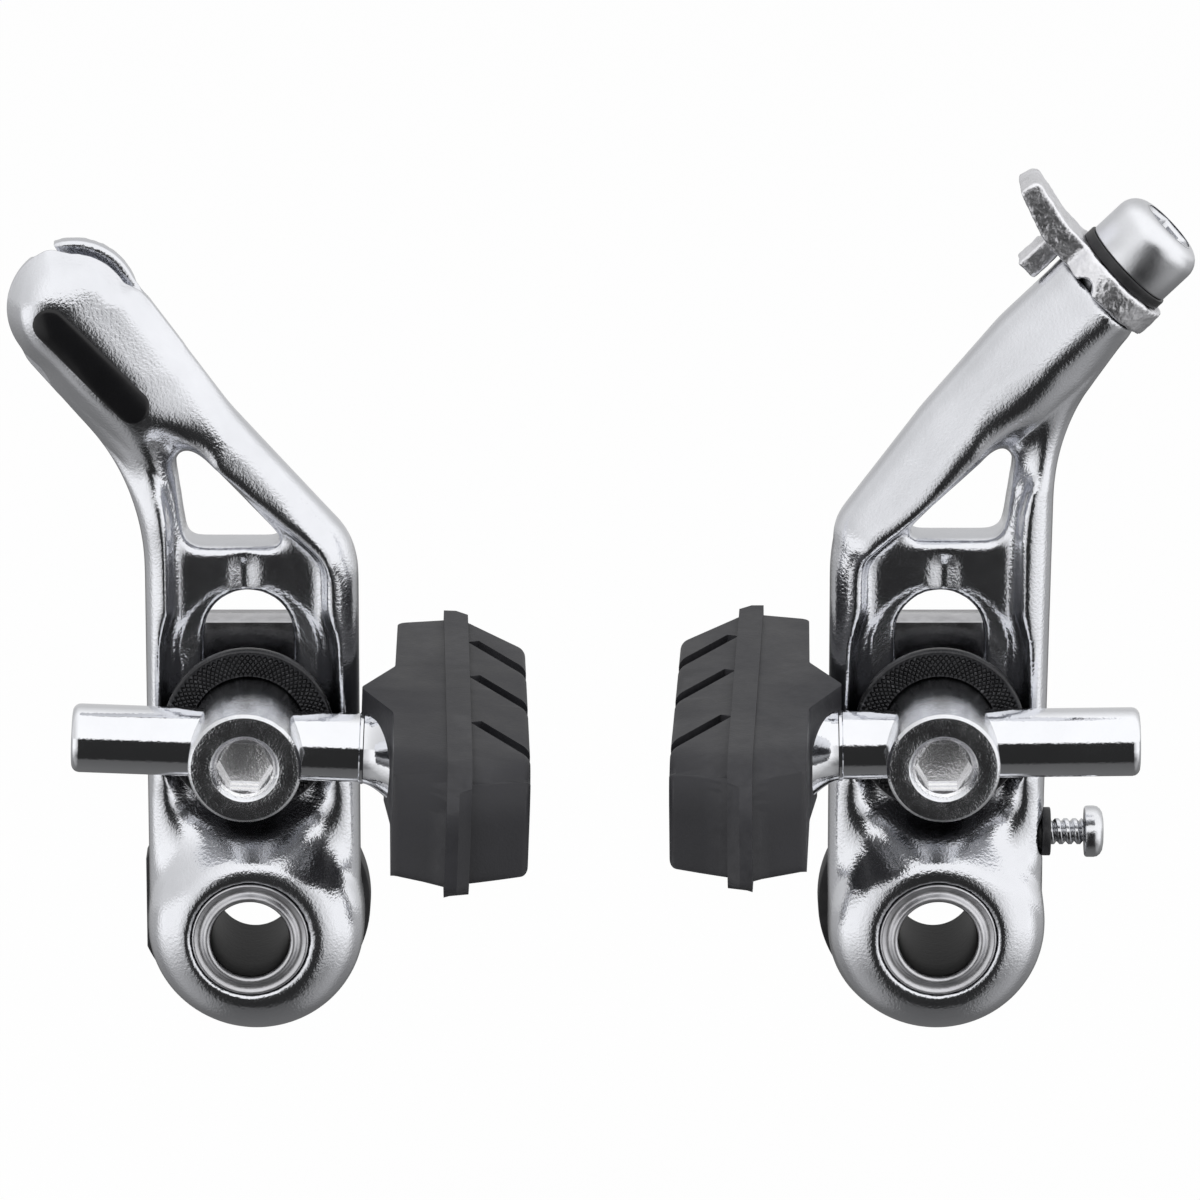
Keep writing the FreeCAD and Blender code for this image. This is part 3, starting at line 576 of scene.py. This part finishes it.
def lathe(name, profile, base, direction, steps=128, sharp=32):
    """Mesh turned from (radius, distance along the axis) points, in millimetres.

    A third item makes the ring a hexagon, with the radius as half its width across flats.
    """
    turn = UPWARD.rotation_difference(Vector(direction)).to_matrix()
    origin = Vector(base)
    build = bmesh.new()
    rings = []
    for radius, along, *hexagon in profile:
        ring = []
        for i in range(steps if radius else 1):
            angle = 2 * math.pi * i / steps
            reach = radius
            if hexagon:
                reach /= math.cos((angle + math.pi / 6) % (math.pi / 3) - math.pi / 6)
            place = Vector((reach * math.cos(angle), reach * math.sin(angle), along))
            ring.append(build.verts.new((origin + turn @ place) / 1000))
        rings.append(ring)
    join_rings(build, rings)
    if len(rings[0]) > 1 and rings[0][0].co == rings[-1][0].co:
        bmesh.ops.remove_doubles(build, verts=build.verts, dist=1e-8)
    bmesh.ops.recalc_face_normals(build, faces=build.faces)
    return finished_mesh(build, name, sharp)


# ---- forms of the arms ----

def ease(value, low, high):
    """Smooth step from 0 at low to 1 at high."""
    t = np.clip((value - low) / (high - low), 0, 1)
    return t * t * (3 - 2 * t)


def arm_places(side, points):
    """Outboard coordinate, height and depth of points on one side's arm."""
    return outboard(side, points[:, 0]), points[:, 2], -points[:, 1]


def line_places(u, z, start, end):
    """Where points lie by a line between two places: how far from it, along it and to its side."""
    du, dz = end[0] - start[0], end[1] - start[1]
    along = ((u - start[0]) * du + (z - start[1]) * dz) / (du * du + dz * dz)
    t = np.clip(along, 0, 1)
    far = np.hypot(u - start[0] - t * du, z - start[1] - t * dz)
    aside = ((z - start[1]) * du - (u - start[0]) * dz) / math.hypot(du, dz)
    return far, along, aside


def crown_place(u, z):
    """Distance from the left bar's axis in bar radii, and how far along the axis a place lies."""
    far, along, aside = line_places(u, z, BULB, BAR_WAIST)
    radius = BULB_RADIUS + (BAR_WAIST_RADIUS - BULB_RADIUS) * np.clip(along, 0, 1)
    swell = 1.7 * ease(aside, 0.5, 4.0) * ease(along, 0.1, 0.45)
    return far / (radius + swell), along


def crown_points(points):
    """Round over the front of the left arm's upper bar and draw in its end."""
    u, z, depth = arm_places("left", points)
    ratio, along = crown_place(u, z)
    ratio = np.clip(ratio, 0, 1)
    drop = np.sqrt(1 - 0.95 * ratio ** 2)
    blend = 1 - ease(along, 0.7, 1.25)
    lowered = ARM_MIDDLE + (depth - ARM_MIDDLE) * (1 - blend + blend * drop)
    points[:, 1] = np.where(depth > ARM_MIDDLE, -lowered, points[:, 1])
    bearing = np.degrees(np.arctan2(z - BULB[1], u - BULB[0]))
    inset = 0.14 * ease(depth, 7.9, 8.4) * ease(bearing, 64, 90) * (1 - ease(bearing, 150, 168))
    inset += 0.13 * (1 - ease(depth, 6.6, 7.4)) * ease(bearing, 24, 44) * (1 - ease(bearing, 60, 66))
    inset *= ease(ratio, 0.4, 0.9)
    points[:, 0] -= (points[:, 0] - across("left", BULB[0])) * inset
    points[:, 2] -= (z - BULB[1]) * inset
    return points


def skew_bar(side, points):
    """Lean the front of an arm's upper bar inboard, so that its ridge lies further outboard."""
    u, z, depth = arm_places(side, points)
    nearest = np.full(len(points), np.inf)
    lean = np.zeros(len(points))
    for (*start, start_radius), (*end, end_radius) in zip(BARS[side], BARS[side][1:]):
        far, along, aside = line_places(u, z, start, end)
        radius = start_radius + (end_radius - start_radius) * np.clip(along, 0, 1)
        far = far / radius
        ratio = np.clip(aside / radius, -1, 1)
        lean = np.where(far < nearest, ratio * (1 - ratio ** 2) * ease(-far, -1.3, -0.9), lean)
        nearest = np.minimum(nearest, far)
    share = 1 + BAR_SKEWS[side] * lean * ease(z, 38.0, 46.0)
    lifted = ARM_MIDDLE + (depth - ARM_MIDDLE) * share
    points[:, 1] = np.where(depth > ARM_MIDDLE, -lifted, points[:, 1])
    return points


def web_relief(side, points):
    """Sink a soft groove into the web between the slot and the window."""
    u, z, depth = arm_places(side, points)
    groove_depth, groove_place, groove_width = 0.5, 0.4, 1.2
    on_web = np.exp(-((depth - WEB_FRONT) / 0.5) ** 2)
    band = ease(z, 34.0, 36.6) * (1 - ease(z, 38.2, 40.4))
    points[:, 1] += groove_depth * np.exp(-((u - groove_place) / groove_width) ** 2) * on_web * band
    return points


def clear_paths(side, points):
    """Keep an arm's surface out of the way of the washer and the plate, which slide along the slot."""
    u, z, depth = arm_places(side, points)
    room = 0.1
    far = line_places(u, z, (0, CLAMP_HEIGHT - CLAMP_DOWN), (0, CLAMP_HEIGHT + CLAMP_UP))[0]
    seat = WASHER_BACK - room + 1.5 * np.maximum(far - WASHER_BACK_RADIUS, 0)
    in_washer = (far < WASHER_RADIUS + room + 0.05) & (depth > seat) & (depth < WASHER_FRONT)
    depth = np.where(in_washer, seat, depth)
    in_plate = (np.abs(u) < PLATE_HALF_WIDTH) & (z > PLATE_BOTTOM) & (z < PLATE_TOP) & (depth < ARM_BACK)
    points[:, 1] = -np.where(in_plate, ARM_BACK, depth)
    return points


def arm_weights(side, points):
    """How much each point of an arm may be smoothed: little at its machined edges."""
    u, z, depth = arm_places(side, points)
    weights = 0.06 + 0.94 * ease(np.hypot(u, z), 7.0, 8.6)
    slot = np.maximum(np.abs(u) - SLOT_HALF_WIDTH, np.maximum(SLOT_BOTTOM - z, z - SLOT_TOP))
    weights *= 0.12 + 0.88 * ease(slot, 0.4, 1.6)
    in_window = (z > WINDOW_BOTTOM) & (z < WINDOW_TOP) & (depth < WEB_FRONT + 0.4)
    weights *= np.where(in_window, 0.8, 1.0)
    weights *= np.where(depth < 5.2, 0.4, 1.0)
    if side == "left":
        far = line_places(u, z, BULB, (BULB[0] - 3, BULB[1] - 2))[0]
        badge_seat = (far < 8.4) & (depth < 9.4)
        weights *= np.where(badge_seat, 0.1, 1.0)
    else:
        lean = math.radians(CABLE_BOLT_LEAN)
        along = (u - CABLE_BOLT_END[0]) * math.sin(lean) + (z - CABLE_BOLT_END[1]) * math.cos(lean)
        weights *= 0.05 + 0.95 * ease(-along, 0.9, 2.6)
        screw_hole = (u > 7.0) & (np.hypot(depth - SCREW_DEPTH, z - SCREW_HEIGHT) < 3.6)
        weights *= np.where(screw_hole, 0.1, 1.0)
    return weights


def shoulder_weights(side, points):
    """Where the hub's dome flows into the seat above it."""
    u, z, depth = arm_places(side, points)
    return (ease(np.hypot(u, z), 8.2, 9.6) * ease(z, 5.0, 8.0) * (1 - ease(z, 13.2, 16.0))
            * ease(depth, 9.0, 10.6) * (1 - ease(np.abs(u), 8.6, 10.4)))


def tip_weights(side, points):
    """Where the hollow between the rails runs out under the upper bar."""
    u, z, depth = arm_places(side, points)
    away = np.hypot(u - HOLLOW_TIPS[side][0], z - HOLLOW_TIPS[side][1])
    return (1 - ease(away, 3.2, 6.8)) * ease(depth, 8.7, 9.7)


def crown_weights(side, points):
    """Where the left bar's crown meets the flanks."""
    u, z, depth = arm_places(side, points)
    ratio, along = crown_place(u, z)
    rim = ease(ratio, 0.7, 0.95) * (1 - ease(ratio, 1.5, 1.8))
    return rim * ease(depth, 8.9, 9.6) * (1 - ease(along, 0.9, 1.3))


# ---- pieces ----

def build_arm(side, cell):
    """Forged and polished arm, with its rails and bars blended."""
    node = side + "_arm"
    mesh, points = remeshed(node, cell)
    points = smooth_points(mesh, points, np.full(len(points), 0.5), 4)
    for weights, rounds in ((arm_weights, 38), (shoulder_weights, 170), (tip_weights, 280)):
        points = smooth_points(mesh, points, weights(side, points), rounds)
    points = web_relief(side, points)
    if side == "left":
        points = crown_points(points)
        points = smooth_points(mesh, points, crown_weights(side, points), 24)
    set_points(mesh, clear_paths(side, skew_bar(side, points)))
    new_piece(node + "_forged", mesh, "alloy", side + "_arm", "arm", node)


def build_badge():
    """Plain black badge, which follows the round of the arm."""
    mesh, points = remeshed("left_badge", 0.00012)
    points = smooth_points(mesh, points, np.ones(len(points)), 4)
    set_points(mesh, skew_bar("left", crown_points(points)))
    new_piece("left_badge_plate", mesh, "badge", "left_arm", "badge", "left_badge")


def level_pad(side):
    """Transform that takes a pad out of its slope and toe, so that it lies along X."""
    depth, height = -POST_DEPTH / 1000, CLAMP_HEIGHT / 1000
    eye = Matrix.Translation((across(side, 0) / 1000, depth, height))
    heel = Matrix.Translation((across(side, POST_SHIFTS[side] - PAD_BACK) / 1000, depth, height))
    slope = Matrix.Rotation(SIDES[side] * math.radians(POST_SLOPES[side]), 4, "Y")
    toe = Matrix.Rotation(SIDES[side] * math.radians(PAD_TOES[side]), 4, "Z")
    return heel @ toe @ heel.inverted() @ eye @ slope @ eye.inverted()


def cut_pad(build, front, worked, top_round, foot_round):
    """Cut a level pad into strips that can follow its rounds and the hump's fade."""
    middle, half = CLAMP_HEIGHT / 1000, PAD_HALF_HEIGHT / 1000
    cuts = [(REARWARD, front + worked * k / 18) for k in range(1, 19)]
    cuts += [(UPWARD, middle + half - top_round * k / 14) for k in range(15)]
    cuts += [(UPWARD, middle - half + foot_round * k / 4) for k in range(5)]
    cuts += [(UPWARD, middle - 0.0005 * k) for k in range(11)]
    cuts += [(REARWARD, (0.8 * k - POST_DEPTH) / 1000) for k in range(-10, 12)]
    for normal, place in cuts:
        parts = build.verts[:] + build.edges[:] + build.faces[:]
        bmesh.ops.bisect_plane(build, geom=parts, dist=1e-7, plane_co=normal * place, plane_no=normal)


def round_pad_front(build, front, worked, top_round, foot_round):
    """Round the front end of a level pad over into its top and its underside.

    Rays from the front find the end face that each point belongs to, also beside the grooves.
    """
    middle, half = CLAMP_HEIGHT / 1000, PAD_HALF_HEIGHT / 1000
    groove_limit = front + 0.005
    walls = BVHTree.FromBMesh(build)
    for vert in build.verts:
        if vert.co.y > front + worked:
            continue
        height = vert.co.z - middle
        proud = abs(height) > half + 0.00001
        ends = []
        for step in (-0.00003, 0.00003):
            start = Vector((vert.co.x + step, front - 0.01, middle + 0.0001))
            hit = walls.ray_cast(start, REARWARD)[0]
            if hit is not None and (proud or hit.y < vert.co.y + 0.00002):
                ends.append(hit.y)
        if not ends:
            continue
        end = min(ends) if proud else min(max(ends), groove_limit)
        reach = top_round if height > 0 else foot_round
        forward = max(0.0, min(reach, reach - (vert.co.y - end)))
        upward = max(0.0, min(reach, abs(height) - half + reach))
        if forward > 0 and upward > 0:
            scale = max(forward, upward) / math.hypot(forward, upward)
            extra = max(0.0, abs(height) - half) * (1 - forward / reach) ** 0.5
            vert.co.y = end + reach - forward * scale
            vert.co.z = middle + math.copysign(half - reach + (upward + extra) * scale, height)


def fade_hump(side, build):
    """Sink the hump round the post into a level pad, further and further down."""
    middle, back = CLAMP_HEIGHT / 1000, (PAD_BACK - POST_SHIFTS[side]) / 1000
    for vert in build.verts:
        inboard = -outboard(side, vert.co.x * 1000) / 1000
        fade = float(ease((vert.co.z - middle) * 1000, -6.0, 3.5))
        if inboard < back - 0.00001:
            vert.co.x += SIDES[side] * (inboard - back) * (1 - fade) * 0.8


def build_pad(side, top_round, foot_round):
    """Moulded rubber pad, with its front end rounded over and a hump that fades out."""
    node = side + "_brake_pad"
    build = welded(node)
    bmesh.ops.dissolve_limit(build, angle_limit=math.radians(0.6), verts=build.verts, edges=build.edges)
    level = level_pad(side)
    build.transform(level)
    front = min(v.co.y for v in build.verts)
    worked = top_round + 0.006
    cut_pad(build, front, worked, top_round, foot_round)
    round_pad_front(build, front, worked, top_round, foot_round)
    fade_hump(side, build)
    bmesh.ops.remove_doubles(build, verts=build.verts, dist=2e-6)
    build.transform(level.inverted())
    mesh = finished_mesh(build, node + "_moulded", 30)
    piece = new_piece(node + "_moulded", mesh, "rubber", side + "_pad", "pad", node)
    round_edges(piece, 0.00022, 32)


def build_washer(side, knurl_depth):
    """Bevelled washer with a diamond-knurled front."""
    back, front, rim = WASHER_BACK, WASHER_FRONT, WASHER_RADIUS
    knurl_face, recess = front - 0.05, front - 2.2
    knurl_outer, knurl_inner = 8.15, 6.1
    recess_radius, hole_radius = 5.85, 3.0
    profile = [(7.15, back), (WASHER_BACK_RADIUS, back + 0.05)]
    profile += [(WASHER_BACK_RADIUS + 1.4 * i / 6, back + 0.1 + 2.1 * i / 6) for i in range(1, 7)]
    profile += [(rim - 0.02, back + 2.4), (rim, back + 2.6), (rim, front - 0.35)]
    profile += [(8.62, front - 0.12), (8.45, front - 0.02), (8.3, knurl_face)]
    profile += [(knurl_outer - (knurl_outer - knurl_inner) * i / 34, knurl_face) for i in range(35)]
    profile += [(5.98, front - 0.02), (recess_radius, front - 0.12), (recess_radius, recess)]
    profile += [(hole_radius, recess), (hole_radius, back), (7.15, back)]
    centre = across(side, 0)
    mesh = lathe(side + "_washer", profile, (centre, 0, CLAMP_HEIGHT), (0, -1, 0), steps=720, sharp=50)
    points = get_points(mesh) * 1000
    dx, dz = points[:, 0] - centre, points[:, 2] - CLAMP_HEIGHT
    radius, angle = np.hypot(dx, dz), np.arctan2(dz, dx)
    on_front = (points[:, 1] < -(front - 0.08)) & (radius < 8.25) & (radius > 6.05)
    teeth, slant = 84, 4.6
    first = np.abs(np.sin(teeth * angle / 2 + slant * radius))
    second = np.abs(np.sin(teeth * angle / 2 - slant * radius))
    cut = 1 - np.minimum(np.minimum(first, second) * 1.7, 1)
    points[:, 1] += np.where(on_front, knurl_depth * 1000 * cut, 0)
    set_points(mesh, points)
    mesh.set_sharp_from_angle(angle=math.radians(60))
    new_piece(
        side + "_washer_knurled", mesh, "dark_steel", side + "_clamp", "washer", side + "_knurled_washer")


def build_sleeve(side):
    """Turned pivot sleeve, with a stepped and rounded flange."""
    bore, tube, flange = BORE_RADIUS, 5.0, 6.0
    profile = [
        (bore, 0.0), (tube, 0.0), (tube, FLANGE_BACK), (flange - 0.1, FLANGE_BACK),
        (flange, FLANGE_BACK + 0.1), (flange, 15.5), (5.97, 15.62), (5.88, 15.72), (5.76, 15.74),
        (5.64, 15.68), (5.5, 15.58), (5.3, 15.52), (5.1, 15.53), (4.94, 15.62), (4.82, 15.78), (4.72, 15.9),
        (4.6, 15.97), (4.46, 15.99), (4.32, 15.94), (4.2, 15.83), (4.1, 15.64),
        (bore, 15.3), (bore, 12.0), (bore, 4.0), (bore, 0.0)]
    mesh = lathe(side + "_sleeve", profile, (across(side, 0), 0, 0), (0, -1, 0), steps=144, sharp=50)
    new_piece(side + "_sleeve_turned", mesh, side + "_sleeve", "frame_side", "sleeve", side + "_pivot_sleeve")


def build_spring(side):
    """Return spring that winds up between its pin in the frame and its leg at the arm."""
    node = side + "_return_spring"
    mesh = finished_mesh(welded(node), node + "_wound")
    mesh.materials.append(materials["spring"])
    piece = add_object(node + "_wound", mesh)
    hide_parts(node)
    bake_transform(piece)


def build_post(side):
    """Turned pad post, with a flared collar at the pad."""
    radius, tip_round, bead = POST_RADIUS, 0.8, 0.18
    tip = -POST_OUTER_ENDS[side]
    start = COLLAR_START - POST_SHIFTS[side]
    flare, neck = COLLAR_END - COLLAR_START, radius + 0.1
    profile = [(0.0, tip), (radius - tip_round, tip)]
    profile += [
        (radius - tip_round + tip_round * math.sin(a), tip + tip_round * (1 - math.cos(a)))
        for a in (0.3, 0.6, 0.9, 1.2, 1.57)]
    profile += [(radius, start - 0.5), (radius + bead, start - 0.38), (radius + bead, start - 0.1)]
    profile += [
        (neck + (COLLAR_RADIUS - neck) * t ** 1.5, start + flare * t)
        for t in (0.0, 0.15, 0.3, 0.45, 0.6, 0.75, 0.9, 1.0)]
    profile += [(COLLAR_RADIUS, start + flare + 2.0), (0.0, start + flare + 2.0)]
    slope = math.radians(POST_SLOPES[side])
    direction = (-SIDES[side] * math.cos(slope), 0, -math.sin(slope))
    base = (across(side, 0), -POST_DEPTH, CLAMP_HEIGHT)
    mesh = lathe(side + "_post", profile, base, direction, steps=120, sharp=28)
    new_piece(side + "_post_turned", mesh, "chrome", side + "_pad", "post", side + "_pad_post")


def build_cable_bolt():
    """Cable clamp bolt with a smooth rounded head and a hexagon socket."""
    shank, tip = CABLE_BOLT_RADIUS, -9.5
    radius, foot, top, dome = 5.0, 4.1, 9.8, 2.1
    profile = [(0.0, tip), (shank - 0.4, tip), (shank, tip + 0.4), (shank, foot), (radius - 0.25, foot)]
    profile += [(radius - 0.08, foot + 0.07), (radius, foot + 0.25), (radius, top - dome)]
    for k in range(1, 9):
        a = math.pi / 2 * k / 8
        profile.append((radius - dome * (1 - math.cos(a)), top - dome * (1 - math.sin(a))))
    profile += [(3.1, top), (2.95, top - 0.15), (2.5, top - 0.5, "hexagon"), (2.5, top - 3.2, "hexagon")]
    profile += [(1.6, top - 3.7), (0.0, top - 4.0)]
    lean = math.radians(CABLE_BOLT_LEAN)
    base = (across("right", CABLE_BOLT_END[0]), -ARM_MIDDLE, CABLE_BOLT_END[1])
    mesh = lathe("cable_bolt", profile, base, (math.sin(lean), 0, math.cos(lean)), steps=144, sharp=40)
    new_piece("cable_bolt_turned", mesh, "bolt", "right_arm", "bolt", "cable_clamp_bolt")


def build_clamp_plate():
    """Hooked cable clamp plate with the skin of a rough forging."""
    mesh, points = remeshed("cable_clamp_plate", 0.00022)
    set_points(mesh, smooth_points(mesh, points, np.ones(len(points)), 5))
    piece = new_piece("cable_clamp_forging", mesh, "forging", "right_arm", "forging", "cable_clamp_plate")
    lumps = bpy.data.textures.new("Forged lumps", "CLOUDS")
    lumps.noise_scale = 0.0011
    lumps.noise_depth = 3
    relief = piece.modifiers.new("Forged skin", "DISPLACE")
    relief.texture = lumps
    relief.texture_coords = "LOCAL"
    relief.strength = 0.00022
    relief.mid_level = 0.5


def build_tension_screw(pitch):
    """Tension screw with a rolled thread, and a domed head with a small round recess."""
    pitch *= 1000
    base = Vector((PIVOT_SPACING, -SCREW_DEPTH, SCREW_HEIGHT))
    start, end = 7.62, 15.2
    core, thread_height = 1.02, 0.33
    steps, rows_per_turn = 48, 14
    rows = int((end - start) / pitch * rows_per_turn)
    build = bmesh.new()
    rings = []
    for row in range(rows + 1):
        along = start + (end - start) * row / rows
        fade = max(0.0, min(1.0, (along - start) / 0.6, (end - along) / 0.3))
        ring = []
        for i in range(steps):
            angle = 2 * math.pi * i / steps
            phase = (along / pitch - i / steps) % 1.0
            crest = min(1.0, max(0.0, 1.6 - 3.2 * abs(phase - 0.5)))
            radius = core + thread_height * crest * fade
            place = Vector((along, radius * math.cos(angle), radius * math.sin(angle)))
            ring.append(build.verts.new((base + place) / 1000))
        rings.append(ring)
    join_rings(build, rings)
    build.faces.new(rings[0][::-1])
    build.faces.new(rings[-1])
    bmesh.ops.recalc_face_normals(build, faces=build.faces)
    mesh = finished_mesh(build, "tension_screw_thread", 55)
    new_piece("tension_screw_thread", mesh, "satin", "screw", "bolt", "tension_screw")
    profile = [
        (1.0, 15.15), (2.45, 15.15), (2.6, 15.25), (2.65, 15.45), (2.65, 16.1), (2.58, 16.45),
        (2.35, 16.75), (1.95, 16.98), (1.4, 17.08), (0.75, 17.1), (0.7, 16.2), (0.0, 16.0)]
    head = lathe("tension_screw_head", profile, base, (1, 0, 0), steps=96)
    new_piece("tension_screw_head", head, "satin", "screw", "bolt")


# ---- stage ----

def make_world():
    """White to the camera; a softbox sky, dark front and pale ground in reflections; plain light else."""
    world = bpy.data.worlds.new("Studio")
    bpy.context.scene.world = world
    world.use_nodes = True
    tree = world.node_tree
    tree.nodes.clear()
    x, y, z = split_node(tree, "Generated")

    def height_over(angle):
        """Height over a plane that is tilted about X by an angle in degrees."""
        rise = math_node(tree, "MULTIPLY", y, math.sin(math.radians(angle)))
        return math_node(tree, "ADD", rise, math_node(tree, "MULTIPLY", z, math.cos(math.radians(angle))))

    ground = wide_ramp(tree, height_over(180 - 57), [(0.47, 0.022), (0.54, 0.1), (0.9, 0.13)])
    side_light = ramp_node(tree, math_node(tree, "ABSOLUTE", x), [(0.28, 0.0), (0.42, 0.5), (0.8, 0.95)])
    for axis, stops in ((y, [(0.5, 1.0), (0.68, 0.3)]), (z, [(0.18, 0.3), (0.36, 1.0)])):
        side_light = math_node(tree, "MULTIPLY", side_light, wide_ramp(tree, axis, stops))
    low = math_node(tree, "ADD", ground, side_light)
    sky_rear = wide_ramp(tree, y, [(0.66, 1.0), (0.92, 0.55)])
    sky_sides = wide_ramp(tree, x, [(0.04, 0.66), (0.2, 0.84), (0.36, 1.0)])
    sky = math_node(tree, "MULTIPLY", sky_rear, sky_sides)
    above = wide_ramp(tree, height_over(16), [(0.485, 0.0), (0.52, 1.0)])
    path = tree.nodes.new("ShaderNodeLightPath").outputs
    lit = mix_node(tree, path["Is Glossy Ray"], (0.5, 0.5, 0.51), mix_node(tree, above, low, sky))
    seen = mix_node(tree, path["Is Camera Ray"], lit, (1, 1, 1))
    background = add_node(tree, "ShaderNodeBackground", color=seen, strength=1.18)
    add_node(tree, "ShaderNodeOutputWorld", surface=background.outputs[0])


def make_floor():
    """Plain pale floor, white to the camera apart from a faint shadow."""
    mesh = bpy.data.meshes.new("floor")
    half, height = 3.0, -0.05
    corners = [(x * half, y * half, height) for x, y in ((-1, -1), (1, -1), (1, 1), (-1, 1))]
    mesh.from_pydata(corners, [], [(0, 1, 2, 3)])
    floor = add_object("floor", mesh)
    material, tree, shader = new_material("Pale floor")
    shader.inputs["Base Color"].default_value = (0.86, 0.86, 0.86, 1)
    shader.inputs["Roughness"].default_value = 0.9
    shader.inputs["Specular IOR Level"].default_value = 0.0
    glow = tree.nodes.new("ShaderNodeEmission")
    path = tree.nodes.new("ShaderNodeLightPath")
    mix = tree.nodes.new("ShaderNodeMixShader")
    white_share = math_node(tree, "MULTIPLY", path.outputs["Is Camera Ray"], 0.97)
    for socket, output in zip(mix.inputs, (white_share, shader.outputs[0], glow.outputs[0])):
        tree.links.new(output, socket)
    tree.links.new(mix.outputs[0], tree.nodes["Material Output"].inputs["Surface"])
    mesh.materials.append(material)
    floor.visible_glossy = False


def make_camera():
    """Camera at the photograph's viewing angle, one metre from the brake."""
    tilt = math.radians(VIEW_TILT)
    data = bpy.data.cameras.new("camera")
    data.lens = VIEW_LENS
    data.sensor_width = 36
    data.clip_end = 20
    camera = add_object("camera", data)
    camera.location = VIEW_TARGET + Vector((0, -math.cos(tilt), math.sin(tilt)))
    camera.rotation_euler = (math.radians(90) - tilt, 0, 0)
    bpy.context.scene.camera = camera


def make_lamp(name, place, power):
    """Soft square lamp that looks at the brake and isn't seen in its metal."""
    data = bpy.data.lights.new(name, "AREA")
    data.shape = "SQUARE"
    data.size = 0.5
    data.energy = power
    lamp = add_object(name, data)
    lamp.location = place
    lamp.rotation_euler = (VIEW_TARGET - Vector(place)).to_track_quat("-Z", "Y").to_euler()
    lamp.visible_glossy = False


# ---- operators ----

class BRAKE_OT_stage(bpy.types.Operator):
    """Set up the camera, the lamps, the floor and the world"""
    bl_idname = "brake.stage"
    bl_label = "Stage"

    def execute(self, context):
        make_camera()
        make_world()
        make_floor()
        make_lamp("key", (-0.25, -0.45, 0.75), 3.2)
        make_lamp("fill", (0.45, -0.55, 0.35), 1.2)
        context.scene.view_settings.view_transform = "Standard"
        return {"FINISHED"}


class BRAKE_OT_materials(bpy.types.Operator):
    """Make the shared groups and all the materials"""
    bl_idname = "brake.materials"
    bl_label = "Materials"

    def execute(self, context):
        for make in (grain_group, patches_group, wear_group, region_group, crevice_group):
            groups[make.__name__] = make()
        make_materials(context.scene.brake_finish)
        return {"FINISHED"}


class BRAKE_OT_arms(bpy.types.Operator):
    """Build both forged arms and the badge"""
    bl_idname = "brake.arms"
    bl_label = "Arms"

    def execute(self, context):
        for side in SIDES:
            build_arm(side, context.scene.brake_sizes.arm_cell)
        build_badge()
        return {"FINISHED"}


class BRAKE_OT_pivots(bpy.types.Operator):
    """Build the pivot sleeves and return springs and finish the spring covers"""
    bl_idname = "brake.pivots"
    bl_label = "Pivots"

    def execute(self, context):
        for side in SIDES:
            build_sleeve(side)
            build_spring(side)
            dress(side + "_spring_cover", "cover", context.scene.brake_sizes.edge_round)
        return {"FINISHED"}


class BRAKE_OT_clamps(bpy.types.Operator):
    """Build the knurled washers and finish the eye bolts, plates and nuts"""
    bl_idname = "brake.clamps"
    bl_label = "Pad clamps"

    def execute(self, context):
        sizes = context.scene.brake_sizes
        for side in SIDES:
            build_washer(side, sizes.knurl_depth)
            dress(side + "_eye_bolt", side + "_eye", sizes.edge_round)
            dress(side + "_rear_plate", "steel", sizes.edge_round)
            dress(side + "_clamp_nut", "steel", sizes.edge_round)
        return {"FINISHED"}


class BRAKE_OT_pads(bpy.types.Operator):
    """Build the moulded pads and their posts"""
    bl_idname = "brake.pads"
    bl_label = "Pads"

    def execute(self, context):
        sizes = context.scene.brake_sizes
        for side in SIDES:
            build_pad(side, sizes.pad_round, sizes.pad_foot_round)
            build_post(side)
        return {"FINISHED"}


class BRAKE_OT_cable_clamp(bpy.types.Operator):
    """Build the cable clamp's plate and bolt and finish its washer"""
    bl_idname = "brake.cable_clamp"
    bl_label = "Cable clamp"

    def execute(self, context):
        build_clamp_plate()
        build_cable_bolt()
        dress("cable_clamp_washer", "black_steel", context.scene.brake_sizes.edge_round)
        return {"FINISHED"}


class BRAKE_OT_tension_screw(bpy.types.Operator):
    """Build the tension screw and finish its bush"""
    bl_idname = "brake.tension_screw"
    bl_label = "Tension screw"

    def execute(self, context):
        sizes = context.scene.brake_sizes
        build_tension_screw(sizes.thread_pitch)
        dress("tension_bush", "cover", sizes.edge_round)
        return {"FINISHED"}


STEPS = ("stage", "materials", "arms", "pivots", "clamps", "pads", "cable_clamp", "tension_screw")


class BRAKE_PT_steps(bpy.types.Panel):
    """Lists the settings, and the steps that build the brake"""
    bl_idname = "BRAKE_PT_steps"
    bl_label = "Cantilever Brake"
    bl_space_type = "VIEW_3D"
    bl_region_type = "UI"
    bl_category = "Brake"

    def draw(self, context):
        for group in (context.scene.brake_finish, context.scene.brake_sizes):
            for name in group.__annotations__:
                self.layout.prop(group, name)
        for step in STEPS:
            self.layout.operator("brake." + step)


CLASSES = (
    BrakeFinish, BrakeSizes, BRAKE_OT_stage, BRAKE_OT_materials, BRAKE_OT_arms, BRAKE_OT_pivots,
    BRAKE_OT_clamps, BRAKE_OT_pads, BRAKE_OT_cable_clamp, BRAKE_OT_tension_screw, BRAKE_PT_steps,
)


def register():
    for item in CLASSES:
        bpy.utils.register_class(item)
    bpy.types.Scene.brake_finish = bpy.props.PointerProperty(type=BrakeFinish)
    bpy.types.Scene.brake_sizes = bpy.props.PointerProperty(type=BrakeSizes)


def unregister():
    del bpy.types.Scene.brake_sizes
    del bpy.types.Scene.brake_finish
    for item in reversed(CLASSES):
        bpy.utils.unregister_class(item)


def main():
    register()
    for step in STEPS:
        getattr(bpy.ops.brake, step)()


if __name__ == "__main__":
    main()
